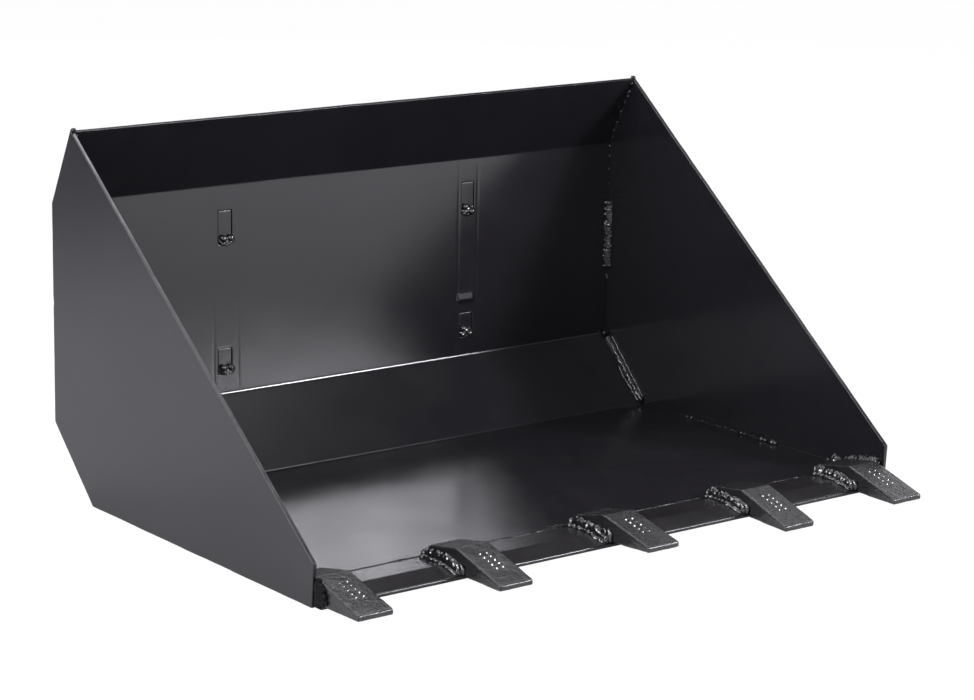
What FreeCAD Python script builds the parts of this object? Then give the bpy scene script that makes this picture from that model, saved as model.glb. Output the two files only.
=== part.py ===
import FreeCAD, Part
import os
import Sketcher
from FreeCAD import Vector, Rotation, Placement

# Loader bucket, compact size: a folded sheet shell closed by two side plates,
# a bevelled cutting edge with five one-piece weld-on teeth, and a welded hitch
# frame on the back.
# Frame, millimetres: X across the bucket (+X is the right side seen from the
# front), +Y towards the back of the bucket, +Z up. The origin is on the
# underside of the cutting edge at mid width, on the line through the bottom
# front corners of the side plates.

# ------------------------------------------------------------------ dimensions
# (alias, value) in millimetres, tilts in degrees. _y and _z are places in the
# side view.
DIMENSIONS = [
    # overall and plate
    ("width", 1067.0), ("plate_th", 6.4), ("sheet_th", 4.76),
    # side plate outline: lip top, upper bend, lower bend, heel, nose
    ("lip_y", 613.8), ("lip_z", 546.4), ("upbend_y", 667.3), ("upbend_z", 432.5),
    ("lowbend_y", 664.1), ("lowbend_z", 104.8), ("heel_y", 557.6),
    ("nose_y", -2.8), ("nose_z", 62.0),
    # outer face of the folded sheet, set 0.5 in from the side plate outline
    ("sh_lip_y", 613.35), ("sh_lip_z", 546.19), ("sh_up_y", 666.80), ("sh_up_z", 432.39),
    ("sh_low_y", 663.60), ("sh_low_z", 105.01), ("sh_heel_y", 556.90), ("sh_heel_z", 0.05),
    ("seam_y", 70.4), ("sh_front_z", 8.14), ("bend_in", 9.0),
    # cutting edge bar
    ("edge_th", 12.7), ("edge_front", -12.8), ("edge_land", 5.3), ("bevel_y", 24.5),
    ("edge_round", 1.0),
    # weld-on tooth, side profile and width
    ("tooth_w", 57.9), ("tip_y", -94.2), ("tip_top_z", 11.6), ("tip_bot_y", -94.8),
    ("tip_bot_z", 3.2), ("ridge_y", 3.9), ("ridge_z", 39.6), ("ramp_y", 66.9), ("ramp_z", 27.7),
    ("seat_rear_y", 70.0), ("seat_z", 13.2), ("seat_front_y", 44.0), ("roof_y", 37.0),
    ("roof_z", 18.0), ("notch_y", -16.0), ("tooth_round", 1.2),
    # centre of each tooth across the bucket
    ("tooth_xa", -497.5), ("tooth_xb", -263.4), ("tooth_xc", -0.2), ("tooth_xd", 264.0),
    ("tooth_xe", 486.3),
    # tilt of each tooth on its seat, tip up positive
    ("tilt_a", 0.9), ("tilt_b", 0.2), ("tilt_c", 3.0), ("tilt_d", -2.4), ("tilt_e", -0.4),
    # hitch frame: rib centres, rib and tab sizes, slots in the back
    ("rib_th", 25.0), ("rib_left_x", -237.5), ("rib_right_x", 228.0), ("rib_low_z", 112.0),
    ("rib_top_z", 424.0), ("rib_rear_y", 726.0), ("slot_gap", 0.4),
    ("tab_a_low", 341.0), ("tab_a_top", 392.6), ("tab_b_low", 138.0), ("tab_b_top", 178.2),
    ("tab_recess", 0.8),
    # latch ledge and its pin holes
    ("ledge_th", 12.7), ("ledge_z", 128.0), ("ledge_depth", 60.0),
    ("pin_rad", 16.5), ("pin_pitch", 300.0), ("pin_y", 695.0),
    # weld beads
    ("bead_leg", 7.0), ("bead_tooth", 11.0), ("bead_rib", 8.0), ("plug_rad", 15.0),
    ("plug_rise", 2.2), ("seam_w", 4.0), ("seam_rise", 1.6), ("foot_leg", 5.0),
    ("floor_drop", 1.8), ("outside_rise", 0.45),
]

SIDES = (("left", -1.0), ("right", 1.0))    # name, sign of X
TEETH = tuple(enumerate("abcde", start=1))  # piece number, letter in the aliases

doc = FreeCAD.newDocument("bucket")
sheet = doc.addObject("Spreadsheet::Sheet", "Dims")
dims = {}
pieces = {}


def add_dimensions(rows):
    """Append (alias, value) rows to the spreadsheet and to dims."""
    for row, (alias, value) in enumerate(rows, start=len(dims) + 1):
        text = "%.4f" % value
        sheet.set("A%d" % row, alias)
        sheet.set("B%d" % row, text)
        sheet.setAlias("B%d" % row, alias)
        dims[alias] = float(text)
    doc.recompute()


add_dimensions(DIMENSIONS)

# Outer face line of the back, which everything welded to it follows.
lean = (dims["sh_up_y"] - dims["sh_low_y"]) / (dims["sh_up_z"] - dims["sh_low_z"])


def back_y(z):
    return dims["sh_low_y"] + (z - dims["sh_low_z"]) * lean


# The same line as cells, so that the sketches can hold to it.
add_dimensions([
    ("back_low", back_y(dims["rib_low_z"])), ("back_top", back_y(dims["rib_top_z"])),
    ("back_a_low", back_y(dims["tab_a_low"])), ("back_a_top", back_y(dims["tab_a_top"])),
    ("back_b_low", back_y(dims["tab_b_low"])), ("back_b_top", back_y(dims["tab_b_top"])),
    ("back_ledge", back_y(dims["ledge_z"])),
    ("back_ledge_top", back_y(dims["ledge_z"] + dims["ledge_th"])),
])


# ------------------------------------------------------------------ bound values
def evaluate(text):
    """A sum such as 'width/2 - plate_th' as its value and its expression."""
    total, sign, expression = 0.0, 1.0, []
    for term in text.split():
        if term in ("+", "-"):
            sign = 1.0 if term == "+" else -1.0
            expression.append(term)
            continue
        value, operator, parts = 1.0, "*", []
        for piece in term.replace("/", " / ").replace("*", " * ").split():
            if piece in ("*", "/"):
                operator = piece
                parts.append(piece)
                continue
            word = piece.lstrip("-")
            minus = "-" if piece.startswith("-") else ""
            number = dims[word] if word in dims else float(word)
            number = -number if minus else number
            value = value * number if operator == "*" else value / number
            parts.append(minus + ("Dims." + word if word in dims else word))
        total += sign * value
        sign = 1.0
        expression.append("".join(parts))
    return total, " ".join(expression)


def bind(obj, prop, text):
    """Set a property and bind it to its expression."""
    value, expression = evaluate(text)
    setattr(obj, prop, value)
    obj.setExpression(prop, expression)


# ------------------------------------------------------------------ bodies and sketches
def new_body(name):
    body = doc.addObject("PartDesign::Body", name)
    body.Label = name
    pieces[name] = body
    return body


def place_x(body, text):
    """Move a body across the bucket."""
    x, expression = evaluate(text)
    body.Placement = Placement(Vector(x, 0, 0), Rotation())
    body.setExpression(".Placement.Base.x", expression)


def new_sketch(body, name, role):
    """Sketch on the body's base plane of the given role."""
    sketch = body.newObject("Sketcher::SketchObject", name)
    plane = next(f for f in body.Origin.OriginFeatures if f.Role == role)
    sketch.AttachmentSupport = [(plane, "")]
    sketch.MapMode = "FlatFace"
    return sketch


def closed_loop(sketch, points):
    """Joined lines through the points; returns the index of the first."""
    first, count = sketch.GeometryCount, len(points)
    for i in range(count):
        sketch.addGeometry(Part.LineSegment(points[i], points[(i + 1) % count]), False)
    for i in range(count):
        sketch.addConstraint(
            Sketcher.Constraint("Coincident", first + i, 2, first + (i + 1) % count, 1))
    return first


def hold_point(sketch, geometry, position, place):
    """Hold a point of the geometry at a bound place, or on an axis where it is 0."""
    for kind, axis, text in (("DistanceX", -2, place[0]), ("DistanceY", -1, place[1])):
        value, expression = evaluate(text)
        if abs(value) < 1e-9:
            sketch.addConstraint(
                Sketcher.Constraint("PointOnObject", geometry, position, axis))
            continue
        index = sketch.addConstraint(
            Sketcher.Constraint(kind, -1, 1, geometry, position, value))
        sketch.setExpression("Constraints[%d]" % index, expression)


def to_vector(place):
    return Vector(evaluate(place[0])[0], evaluate(place[1])[0], 0)


def polygon(sketch, places):
    """Closed polygon whose corners are held at bound places."""
    first = closed_loop(sketch, [to_vector(place) for place in places])
    for i, place in enumerate(places):
        hold_point(sketch, first + i, 1, place)


def circle(sketch, place, radius_text):
    radius, expression = evaluate(radius_text)
    geometry = sketch.addGeometry(Part.Circle(to_vector(place), Vector(0, 0, 1), radius), False)
    hold_point(sketch, geometry, 3, place)
    index = sketch.addConstraint(Sketcher.Constraint("Radius", geometry, radius))
    sketch.setExpression("Constraints[%d]" % index, expression)


# ------------------------------------------------------------------ features
def pad(body, sketch, length, name, midplane=True):
    feature = body.newObject("PartDesign::Pad", name)
    feature.Profile = sketch
    feature.Midplane = midplane
    bind(feature, "Length", length)
    return feature


def round_edges(body, base, name, chosen, radius):
    """Fillet the edges of base for which chosen(edge) is true."""
    doc.recompute()
    edges = ["Edge%d" % i for i, edge in enumerate(base.Shape.Edges, start=1) if chosen(edge)]
    feature = body.newObject("PartDesign::Fillet", name)
    feature.Base = (base, edges)
    bind(feature, "Radius", radius)
    return feature


def cut_through(body, base, sketch, name):
    """Pocket through all, both ways from the sketch; it has to remove something."""
    feature = body.newObject("PartDesign::Pocket", name)
    feature.Profile = sketch
    feature.Type = 1
    feature.Midplane = True
    doc.recompute()
    if not feature.Shape.Volume < base.Shape.Volume - 1000:
        raise RuntimeError(name + " cuts nothing")


def runs_at(edge, corners, tolerance=0.5):
    """True for an edge along X through one of the (y, z) profile corners."""
    start, end = edge.Vertexes[0].Point, edge.Vertexes[-1].Point
    along_x = (abs(start.y - end.y) < 1e-6 and abs(start.z - end.z) < 1e-6
               and abs(start.x - end.x) > 1)
    return along_x and any(abs(start.y - corner.x) < tolerance
                           and abs(start.z - corner.y) < tolerance for corner in corners)


# ------------------------------------------------------------------ folded shell
# One sheet: top lip leaning forward, upright back, 45 degree heel and floor.
# Profile corners are vectors (y, z, 0). Segments: 0 lip, 1 back, 2 heel, 3 floor.
SHELL_PLACES = [("sh_lip_y", "sh_lip_z"), ("sh_up_y", "sh_up_z"), ("sh_low_y", "sh_low_z"),
                ("sh_heel_y", "sh_heel_z"), ("seam_y", "sh_front_z")]
INSIDE_POINT = Vector(300, 250, 0)  # any point within the bucket


def inward(start, end):
    """Unit normal of a profile segment, towards the inside of the bucket."""
    along = (end - start).normalize()
    normal = Vector(-along.y, along.x, 0)
    return normal if (INSIDE_POINT - start).dot(normal) > 0 else normal * -1


def offset_inward(corners, thickness):
    """The profile one sheet thickness in: square at the lip, upright at the front."""
    normals = [inward(*pair) for pair in zip(corners[:-1], corners[1:])]
    result = [corners[0] + normals[0] * thickness]
    for corner, before, after in zip(corners[1:-1], normals[:-1], normals[1:]):
        mitre = before + after
        result.append(corner + mitre * (thickness / mitre.dot(before)))
    front = corners[-1]
    result.append(Vector(front.x, front.y + thickness / abs(normals[-1].y), 0))
    return result


outer_line = [to_vector(place) for place in SHELL_PLACES]
inner_line = offset_inward(outer_line, dims["sheet_th"])


def build_shell():
    body = new_body("shell_sheet")
    sketch = new_sketch(body, "ShellProfile", "YZ_Plane")
    closed_loop(sketch, outer_line + inner_line[::-1])
    for i, place in enumerate(SHELL_PLACES):
        hold_point(sketch, i, 1, place)
    # lines 0-3 are the outer face, 4 the front end, 5-8 the inner face, 9 the lip end
    for outer, inner in ((0, 8), (1, 7), (2, 6), (3, 5)):
        sketch.addConstraint(Sketcher.Constraint("Parallel", outer, inner))
        index = sketch.addConstraint(
            Sketcher.Constraint("Distance", inner, 1, outer, dims["sheet_th"]))
        sketch.setExpression("Constraints[%d]" % index, "Dims.sheet_th")
    sketch.addConstraint(Sketcher.Constraint("Vertical", 4))
    sketch.addConstraint(Sketcher.Constraint("Perpendicular", 0, 9))
    sheet_pad = pad(body, sketch, "width - 2*plate_th", "ShellPad")
    inside = round_edges(body, sheet_pad, "BendInside",
                         lambda edge: runs_at(edge, inner_line[1:4]), "bend_in")
    outside = round_edges(body, inside, "BendOutside",
                          lambda edge: runs_at(edge, outer_line[1:4]), "bend_in + sheet_th")
    doc.recompute()

    slots = new_sketch(body, "TabSlots", "XZ_Plane")
    for rib in ("rib_left_x", "rib_right_x"):
        for tab in ("tab_a", "tab_b"):
            left, right = rib + " - rib_th/2 - slot_gap", rib + " + rib_th/2 + slot_gap"
            low, top = tab + "_low - slot_gap", tab + "_top + slot_gap"
            polygon(slots, [(left, low), (right, low), (right, top), (left, top)])
    cut_through(body, outside, slots, "TabSlotCut")


# ------------------------------------------------------------------ side plates
def build_side_plate(name, x):
    body = new_body(name)
    sketch = new_sketch(body, name + "_outline", "YZ_Plane")
    polygon(sketch, [("0", "0"), ("heel_y", "0"), ("lowbend_y", "lowbend_z"),
                     ("upbend_y", "upbend_z"), ("lip_y", "lip_z"), ("nose_y", "nose_z")])
    pad(body, sketch, "plate_th", name + "_pad", midplane=False)
    place_x(body, x)


# ------------------------------------------------------------------ cutting edge
def build_cutting_edge():
    body = new_body("cutting_edge")
    sketch = new_sketch(body, "EdgeProfile", "YZ_Plane")
    polygon(sketch, [("edge_front", "0"), ("seam_y", "0"), ("seam_y", "edge_th"),
                     ("bevel_y", "edge_th"), ("edge_front", "edge_land")])
    bar = pad(body, sketch, "width - 2*plate_th", "EdgePad")
    arris = [to_vector(("edge_front", "edge_land"))]
    round_edges(body, bar, "EdgeArris", lambda edge: runs_at(edge, arris), "edge_round")


# ------------------------------------------------------------------ teeth
# Cast wedge with a flat back ramp; it sits astride the cutting edge, its seat
# on the flat of the bar and a clearance pocket over the bevel.
TOOTH_TOP = [("tip_bot_y", "tip_bot_z"), ("tip_y", "tip_top_z"), ("ridge_y", "ridge_z"),
             ("ramp_y", "ramp_z")]
TOOTH_UNDERSIDE = [("seat_rear_y", "seat_z"), ("seat_front_y", "seat_z"), ("roof_y", "roof_z"),
                   ("notch_y", "roof_z"), ("notch_y", "tip_bot_z")]


def on_tooth_top(edge):
    """True for an edge whose ends are all corners of the top outline."""
    corners = [to_vector(place) for place in TOOTH_TOP]
    return all(any(abs(vertex.Point.y - corner.x) < 0.2 and abs(vertex.Point.z - corner.y) < 0.2
                   for corner in corners) for vertex in edge.Vertexes)


def build_tooth(number, letter):
    name = "tooth_%d" % number
    body = new_body(name)
    sketch = new_sketch(body, name + "_profile", "YZ_Plane")
    polygon(sketch, TOOTH_TOP + TOOTH_UNDERSIDE)
    blank = pad(body, sketch, "tooth_w", name + "_pad")
    round_edges(body, blank, name + "_cast_radius", on_tooth_top, "tooth_round")
    # the tooth turns about the rear of its seat (tip up) or the front of it (tip down)
    tilt = dims["tilt_" + letter]
    pivot = Vector(0, dims["seat_rear_y" if tilt > 0 else "seat_front_y"], dims["seat_z"])
    turn = Rotation(Vector(1, 0, 0), -tilt)
    base = pivot - turn.multVec(pivot) + Vector(dims["tooth_x" + letter], 0, 0)
    body.Placement = Placement(base, turn)
    body.setExpression(".Placement.Base.x", "Dims.tooth_x" + letter)
    body.setExpression(".Placement.Rotation.Angle", "abs(Dims.tilt_%s)" % letter)


# ------------------------------------------------------------------ hitch frame
BETWEEN_RIBS = "rib_right_x - rib_left_x - rib_th"
HITCH_CENTRE = "rib_left_x/2 + rib_right_x/2"


def build_rib(side):
    """Upright rib with two tabs that enter the slots in the back."""
    name = "hitch_rib_" + side
    body = new_body(name)
    sketch = new_sketch(body, name + "_profile", "YZ_Plane")
    into_slot = " - sheet_th + tab_recess"
    places = [("back_low", "rib_low_z")]
    for tab in "ba":
        low_y, top_y = "back_%s_low" % tab, "back_%s_top" % tab
        low_z, top_z = "tab_%s_low" % tab, "tab_%s_top" % tab
        places += [(low_y, low_z), (low_y + into_slot, low_z),
                   (top_y + into_slot, top_z), (top_y, top_z)]
    places += [("back_top", "rib_top_z"), ("back_top + 20", "rib_top_z"),
               ("rib_rear_y", "rib_top_z - 42"), ("rib_rear_y", "rib_low_z + 44"),
               ("rib_rear_y - 34", "rib_low_z")]
    polygon(sketch, places)
    pad(body, sketch, "rib_th", name + "_pad")
    place_x(body, "rib_%s_x" % side)


def build_top_bar():
    """Bar leaning back and down, so that a loader's plate hooks under it."""
    body = new_body("hitch_top_bar")
    sketch = new_sketch(body, "TopBarProfile", "YZ_Plane")
    polygon(sketch, [("back_top + 0.3", "rib_top_z - 6"), ("back_top + 0.3", "rib_top_z - 24"),
                     ("rib_rear_y - 11", "rib_top_z - 69"), ("rib_rear_y - 2", "rib_top_z - 60")])
    pad(body, sketch, BETWEEN_RIBS, "TopBarPad")
    place_x(body, HITCH_CENTRE)


def build_latch_ledge():
    """Bottom ledge with the two latch pin holes."""
    body = new_body("hitch_latch_ledge")
    sketch = new_sketch(body, "LedgeProfile", "YZ_Plane")
    polygon(sketch, [("back_ledge + 0.1", "ledge_z"), ("back_ledge + ledge_depth", "ledge_z"),
                     ("back_ledge + ledge_depth", "ledge_z + ledge_th"),
                     ("back_ledge_top", "ledge_z + ledge_th")])
    ledge = pad(body, sketch, BETWEEN_RIBS, "LedgePad")
    doc.recompute()
    holes = new_sketch(body, "LatchHoles", "XY_Plane")
    for x in ("-pin_pitch/2", "pin_pitch/2"):
        circle(holes, (x, "pin_y"), "pin_rad")
    cut_through(body, ledge, holes, "LatchHoleCut")
    place_x(body, HITCH_CENTRE)


# ------------------------------------------------------------------ weld deposits
X = Vector(1, 0, 0)
Y = Vector(0, 1, 0)
Z = Vector(0, 0, 1)
UP_BACK = Vector(0, lean, 1).normalize()          # up along the back
OFF_BACK = Vector(0, UP_BACK.z, -UP_BACK.y)       # out of the back, rearwards
INNER_HALF = dims["width"] / 2 - dims["plate_th"]  # mid width to a side plate's inner face
GAP = 0.02                                        # usual clearance of a bead from the plates


def bead(start, end, direction_a, direction_b, leg_a, leg_b):
    """Triangular prism from start to end; its legs leave the corner along unit vectors."""
    wedge = doc.addObject("Part::Wedge", "Bead%03d" % (len(doc.findObjects("Part::Wedge")) + 1))
    along = end - start
    length = along.Length
    along = along.normalize()
    if direction_a.cross(direction_b).dot(along) < 0:
        direction_a, direction_b, leg_a, leg_b = direction_b, direction_a, leg_b, leg_a
    for prop in ("Xmin", "Ymin", "Zmin", "X2min", "X2max", "Z2min"):
        setattr(wedge, prop, 0)
    wedge.Zmax = length
    wedge.Z2max = length
    bind(wedge, "Xmax", leg_a)
    bind(wedge, "Ymax", leg_b)
    wedge.Placement = Placement(FreeCAD.Matrix(
        direction_a.x, direction_b.x, along.x, start.x,
        direction_a.y, direction_b.y, along.y, start.y,
        direction_a.z, direction_b.z, along.z, start.z,
        0, 0, 0, 1))
    return wedge


def deposit(name, beads):
    compound = doc.addObject("Part::Compound", name)
    compound.Links = beads
    compound.Label = name
    pieces[name] = compound


# Bead runs between shell and side plates: shell segment, start and end along it.
# A negative end is measured back from the segment's far corner.
INSIDE_RUNS = [(0, 14.0, -14.0), (1, 90.0, 244.0), (2, 12.0, -12.0), (3, 112.0, 322.0)]
OUTSIDE_RUNS = [(0, 8.0, -10.0), (1, 12.0, -12.0), (2, 12.0, -16.0)]


def weld_shell_sides(place, line, facing, runs, leg, rise):
    """Beads at both side plates; facing is 1 into the bucket, -1 out of it."""
    for side, sign in SIDES:
        beads = []
        for segment, start, end in runs:
            corner, far = line[segment], line[segment + 1]
            length = (far - corner).Length
            along = (far - corner).normalize()
            normal = inward(outer_line[segment], outer_line[segment + 1]) * facing
            ends = []
            for distance in (start, end if end > 0 else length + end):
                point = corner + along * distance + normal * GAP
                ends.append(Vector(sign * (INNER_HALF - GAP), point.x, point.y))
            beads.append(bead(ends[0], ends[1], X * -sign, Vector(0, normal.x, normal.y),
                              leg, rise))
        deposit("weld_%s_%s" % (place, side), beads)


FLOOR_RUN_STARTS = (110.0, 230.0, 350.0)
FLOOR_RUN_LENGTH = 60.0


def weld_under_floor():
    """Short beads in the corner between the sloping floor and each side plate."""
    slope = ((dims["sh_heel_z"] - dims["sh_front_z"])
             / (dims["sh_heel_y"] - dims["seam_y"]))
    beads = []
    for _, sign in SIDES:
        for start_y in FLOOR_RUN_STARTS:
            start, end = [
                Vector(sign * (INNER_HALF - GAP), y,
                       dims["sh_front_z"] + (y - dims["seam_y"]) * slope - GAP)
                for y in (start_y, start_y + FLOOR_RUN_LENGTH)]
            along = (end - start).normalize()
            down = Vector(0, along.z, -along.y)
            beads.append(bead(start, end, X * -sign, down, "foot_leg", "floor_drop"))
    deposit("weld_under_floor", beads)


SEAM_TOP_Z = 12.93       # foot of the ridge on top of the seam
SEAM_UNDER_Z = 7.95      # top of the bead under the seam
SEAM_HALF_GAP = 0.05     # from the seam to each half of the ridge
SEAM_TOOTH_GAP = 1.5     # from a tooth's bead to the end of the ridge
SEAM_END_INSET = 12.0    # from a side plate to the end of the bead under the seam


def weld_edge_seam():
    """Low ridge between floor sheet and cutting edge, in each bay between two teeth."""
    beads = []
    centres = [dims["tooth_x" + letter] for _, letter in TEETH]
    reach = dims["tooth_w"] / 2 + dims["bead_tooth"] + SEAM_TOOTH_GAP
    for left, right in zip(centres[:-1], centres[1:]):
        for sign in (-1.0, 1.0):
            y = dims["seam_y"] + SEAM_HALF_GAP * sign
            beads.append(bead(Vector(left + reach, y, SEAM_TOP_Z),
                              Vector(right - reach, y, SEAM_TOP_Z),
                              Y * sign, Z, "seam_w/2", "seam_rise"))
    deposit("weld_edge_seam", beads)


def weld_edge_underside():
    """Bead behind the cutting edge, below the floor sheet."""
    reach = INNER_HALF - SEAM_END_INSET
    y = dims["seam_y"] + GAP
    deposit("weld_edge_underside", [
        bead(Vector(-reach, y, SEAM_UNDER_Z), Vector(reach, y, SEAM_UNDER_Z),
             Y, Z * -1, "foot_leg", "foot_leg")])


TOOTH_SIDE_GAP = 0.05        # from a tooth's side to its beads
FLAT_REAR_INSET = 2.4        # from the seam to the rear of the bead on the flat
BEVEL_START = 1.6            # from the top of the bevel to the bead on it
BEVEL_RUN = 33.0
NO_ROOM, FULL_ROOM = 2.0, 14.0  # room beside a tooth: none for a bead; enough for a large one
NOSE_BEAD_LOW_Z, NOSE_BEAD_TOP_Z = 4.0, 40.0


def weld_tooth(number, letter):
    """Beads down both sides of a tooth: along the flat of the bar, then the bevel."""
    bevel_top = Vector(0, dims["bevel_y"], dims["edge_th"])
    down_bevel = (Vector(0, dims["edge_front"], dims["edge_land"]) - bevel_top).normalize()
    off_bevel = Vector(0, down_bevel.z, -down_bevel.y)
    beads = []
    for sign in (-1.0, 1.0):
        face = dims["tooth_x" + letter] + sign * (dims["tooth_w"] / 2 + TOOTH_SIDE_GAP)
        room = INNER_HALF - abs(face)
        if room < NO_ROOM:
            # against the side plate: an upright bead where the tooth passes its front edge
            x, y = sign * (INNER_HALF + 0.03), dims["nose_y"] - 0.1
            beads.append(bead(Vector(x, y, NOSE_BEAD_LOW_Z), Vector(x, y, NOSE_BEAD_TOP_Z),
                              X * sign, Y * -1, "plate_th - 0.2", "bead_tooth"))
            continue
        leg = "bead_tooth" if room > FULL_ROOM else "bead_leg"
        flat_z = dims["edge_th"] + GAP
        beads.append(bead(Vector(face, dims["seam_y"] - FLAT_REAR_INSET, flat_z),
                          Vector(face, dims["bevel_y"], flat_z), X * sign, Z, leg, leg))
        start = X * face + bevel_top + off_bevel * GAP + down_bevel * BEVEL_START
        beads.append(bead(start, start + down_bevel * BEVEL_RUN, X * sign, off_bevel, leg, leg))
    deposit("weld_tooth_%d" % number, beads)


PLUG_HEIGHTS = (348.5, 147.3)  # centres, upper and lower slot
PLUG_GAP = 0.03


def weld_plugs(side):
    """Round plugs over the lower end of each tab slot, on the inner face of the back."""
    name = "weld_plugs_" + side
    plugs = []
    for z in PLUG_HEIGHTS:
        plug = doc.addObject("Part::Cylinder", "%s_%d" % (name, int(z)))
        bind(plug, "Radius", "plug_rad")
        bind(plug, "Height", "plug_rise")
        y = back_y(z) - dims["sheet_th"] - PLUG_GAP
        plug.Placement = Placement(Vector(dims["rib_%s_x" % side], y, z),
                                   Rotation(Z, Vector(0, -1.0, lean)))
        plugs.append(plug)
    deposit(name, plugs)


def weld_rib(side, outward):
    """Beads between a rib and the back; the one facing the other rib is shorter."""
    beads = []
    for sign in (-1.0, 1.0):
        if sign == outward:
            low, top = dims["rib_low_z"] + 4, dims["rib_top_z"] - 4
        else:
            low, top = dims["ledge_z"] + 24.0, dims["rib_top_z"] - 36.0
        face = dims["rib_%s_x" % side] + sign * (dims["rib_th"] / 2 + GAP)
        start, end = [Vector(face, back_y(z), z) + OFF_BACK * GAP for z in (low, top)]
        beads.append(bead(start, end, X * sign, OFF_BACK, "bead_rib", "bead_rib"))
    deposit("weld_rib_" + side, beads)


LEDGE_END_INSET = 9.5  # from a rib's face to the end of the ledge beads


def weld_latch_ledge():
    """Beads above and below the ledge where it meets the back."""
    inset = dims["rib_th"] / 2 + LEDGE_END_INSET
    left, right = dims["rib_left_x"] + inset, dims["rib_right_x"] - inset
    ledge_z = dims["ledge_z"]
    above_z = ledge_z + dims["ledge_th"] + 0.1
    # z and y of the corner, direction of the second leg
    corners = [(above_z, back_y(above_z) + 0.05, UP_BACK),
               (ledge_z - GAP, back_y(ledge_z) + 0.12, UP_BACK * -1)]
    deposit("weld_latch_ledge", [
        bead(Vector(left, y, z), Vector(right, y, z), OFF_BACK, direction,
             "bead_leg", "bead_leg")
        for z, y, direction in corners])


# ------------------------------------------------------------------ build
build_shell()
build_side_plate("side_plate_left", "-width/2")
build_side_plate("side_plate_right", "width/2 - plate_th")
build_cutting_edge()
for number, letter in TEETH:
    build_tooth(number, letter)
for side, _ in SIDES:
    build_rib(side)
build_top_bar()
build_latch_ledge()

weld_shell_sides("inside", inner_line, 1, INSIDE_RUNS, "bead_leg", "bead_leg")
weld_under_floor()
weld_edge_seam()
weld_edge_underside()
for number, letter in TEETH:
    weld_tooth(number, letter)
for side, _ in SIDES:
    weld_plugs(side)
for side, sign in SIDES:
    weld_rib(side, sign)
weld_latch_ledge()
weld_shell_sides("outside", outer_line, -1, OUTSIDE_RUNS, "foot_leg", "outside_rise")

# ------------------------------------------------------------------ checks, then STEP
doc.recompute()
bad = []
for obj in doc.Objects:
    if any(flag in ("Invalid", "Error") for flag in obj.State):
        bad.append("%s: %s" % (obj.Name, obj.State))
for name, obj in pieces.items():
    shape = obj.Shape
    if shape.isNull() or not shape.isValid() or not shape.Solids or shape.Volume <= 0:
        bad.append("%s: shape not usable" % name)
if bad:
    raise RuntimeError("; ".join(bad))

os.makedirs("parts", exist_ok=True)
for name, obj in pieces.items():
    obj.Shape.exportStep("parts/%s.step" % name)
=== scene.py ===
"""Bucket with five cast teeth, folded from one sheet between two side plates.

Frame: x runs across the bucket (left is -x), y runs from the cutting edge at the front
(y about -13) to the hitch frame at the rear (y about 726), z is up from the ground.
Lengths are millimetres until a mesh is made; camera, floor and lights are in metres.
"""
import math

import bmesh
import bpy
import numpy as np
from mathutils import Matrix, Vector


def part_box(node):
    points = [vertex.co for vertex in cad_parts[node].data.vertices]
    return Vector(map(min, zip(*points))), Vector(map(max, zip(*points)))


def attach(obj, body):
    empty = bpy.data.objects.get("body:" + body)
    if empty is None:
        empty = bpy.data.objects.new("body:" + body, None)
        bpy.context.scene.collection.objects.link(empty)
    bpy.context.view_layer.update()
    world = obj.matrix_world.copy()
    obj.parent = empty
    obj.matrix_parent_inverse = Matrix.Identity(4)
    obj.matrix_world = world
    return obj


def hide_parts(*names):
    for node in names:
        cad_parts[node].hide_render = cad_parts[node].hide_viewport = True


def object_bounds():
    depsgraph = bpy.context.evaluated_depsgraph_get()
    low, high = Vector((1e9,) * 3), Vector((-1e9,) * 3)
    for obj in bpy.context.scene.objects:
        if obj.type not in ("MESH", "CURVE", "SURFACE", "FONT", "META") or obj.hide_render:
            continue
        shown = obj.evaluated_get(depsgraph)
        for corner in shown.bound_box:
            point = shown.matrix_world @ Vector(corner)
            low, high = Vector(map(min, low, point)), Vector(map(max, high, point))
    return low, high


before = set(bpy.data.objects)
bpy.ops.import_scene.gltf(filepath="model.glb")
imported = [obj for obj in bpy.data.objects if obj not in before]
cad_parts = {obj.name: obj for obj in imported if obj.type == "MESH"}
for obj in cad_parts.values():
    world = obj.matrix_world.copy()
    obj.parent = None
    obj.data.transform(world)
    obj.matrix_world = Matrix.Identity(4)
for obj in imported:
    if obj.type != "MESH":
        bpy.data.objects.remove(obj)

MM = 0.001
cad_lo, cad_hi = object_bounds()


def middle_x(piece):
    low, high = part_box(piece)
    return (low.x + high.x) * 500.0


# ------------------------------------------------------------------ driving sizes
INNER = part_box("shell_sheet")[1].x * 1000.0       # half width between the side plates
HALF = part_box("side_plate_right")[1].x * 1000.0   # half width over the side plates
RIB_X = {side: middle_x("hitch_rib_" + side) for side in ("left", "right")}
RIB_THICK = 25.0
TOOTH_X = [middle_x("tooth_%d" % i) for i in range(1, 6)]

# side plate corners, (y, z)
LIP, NOSE = (613.8, 546.4), (-2.8, 62.0)
PLATE = [(0, 0), (557.6, 0.0), (664.1, 104.8), (667.3, 432.5), LIP, NOSE]

# outer corners of the folded sheet, (y, z), from the lip round to the front of the floor
SHEET_OUTER = [np.array(p, float) for p in
               ((613.35, 546.19), (666.80, 432.39), (663.60, 105.01), (556.90, 0.05), (70.4, 8.14))]
LIP_PANEL, BACK, INCLINE, FLOOR = range(4)
SHEET_THICK = 4.76
FOLD_RADIUS = 9.0
ARC_STEPS = 9

# slots in the back for the tabs of the hitch ribs
SLOT_HALF = 12.9
SLOT_Z = [(340.6, 393.0), (137.6, 178.6)]
# shallow upright grooves on the inside of the back: x, strength
GROOVES = ((-257.7, 1.0), (-213.3, 0.9), (209.9, 1.0), (247.8, 0.8))

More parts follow.
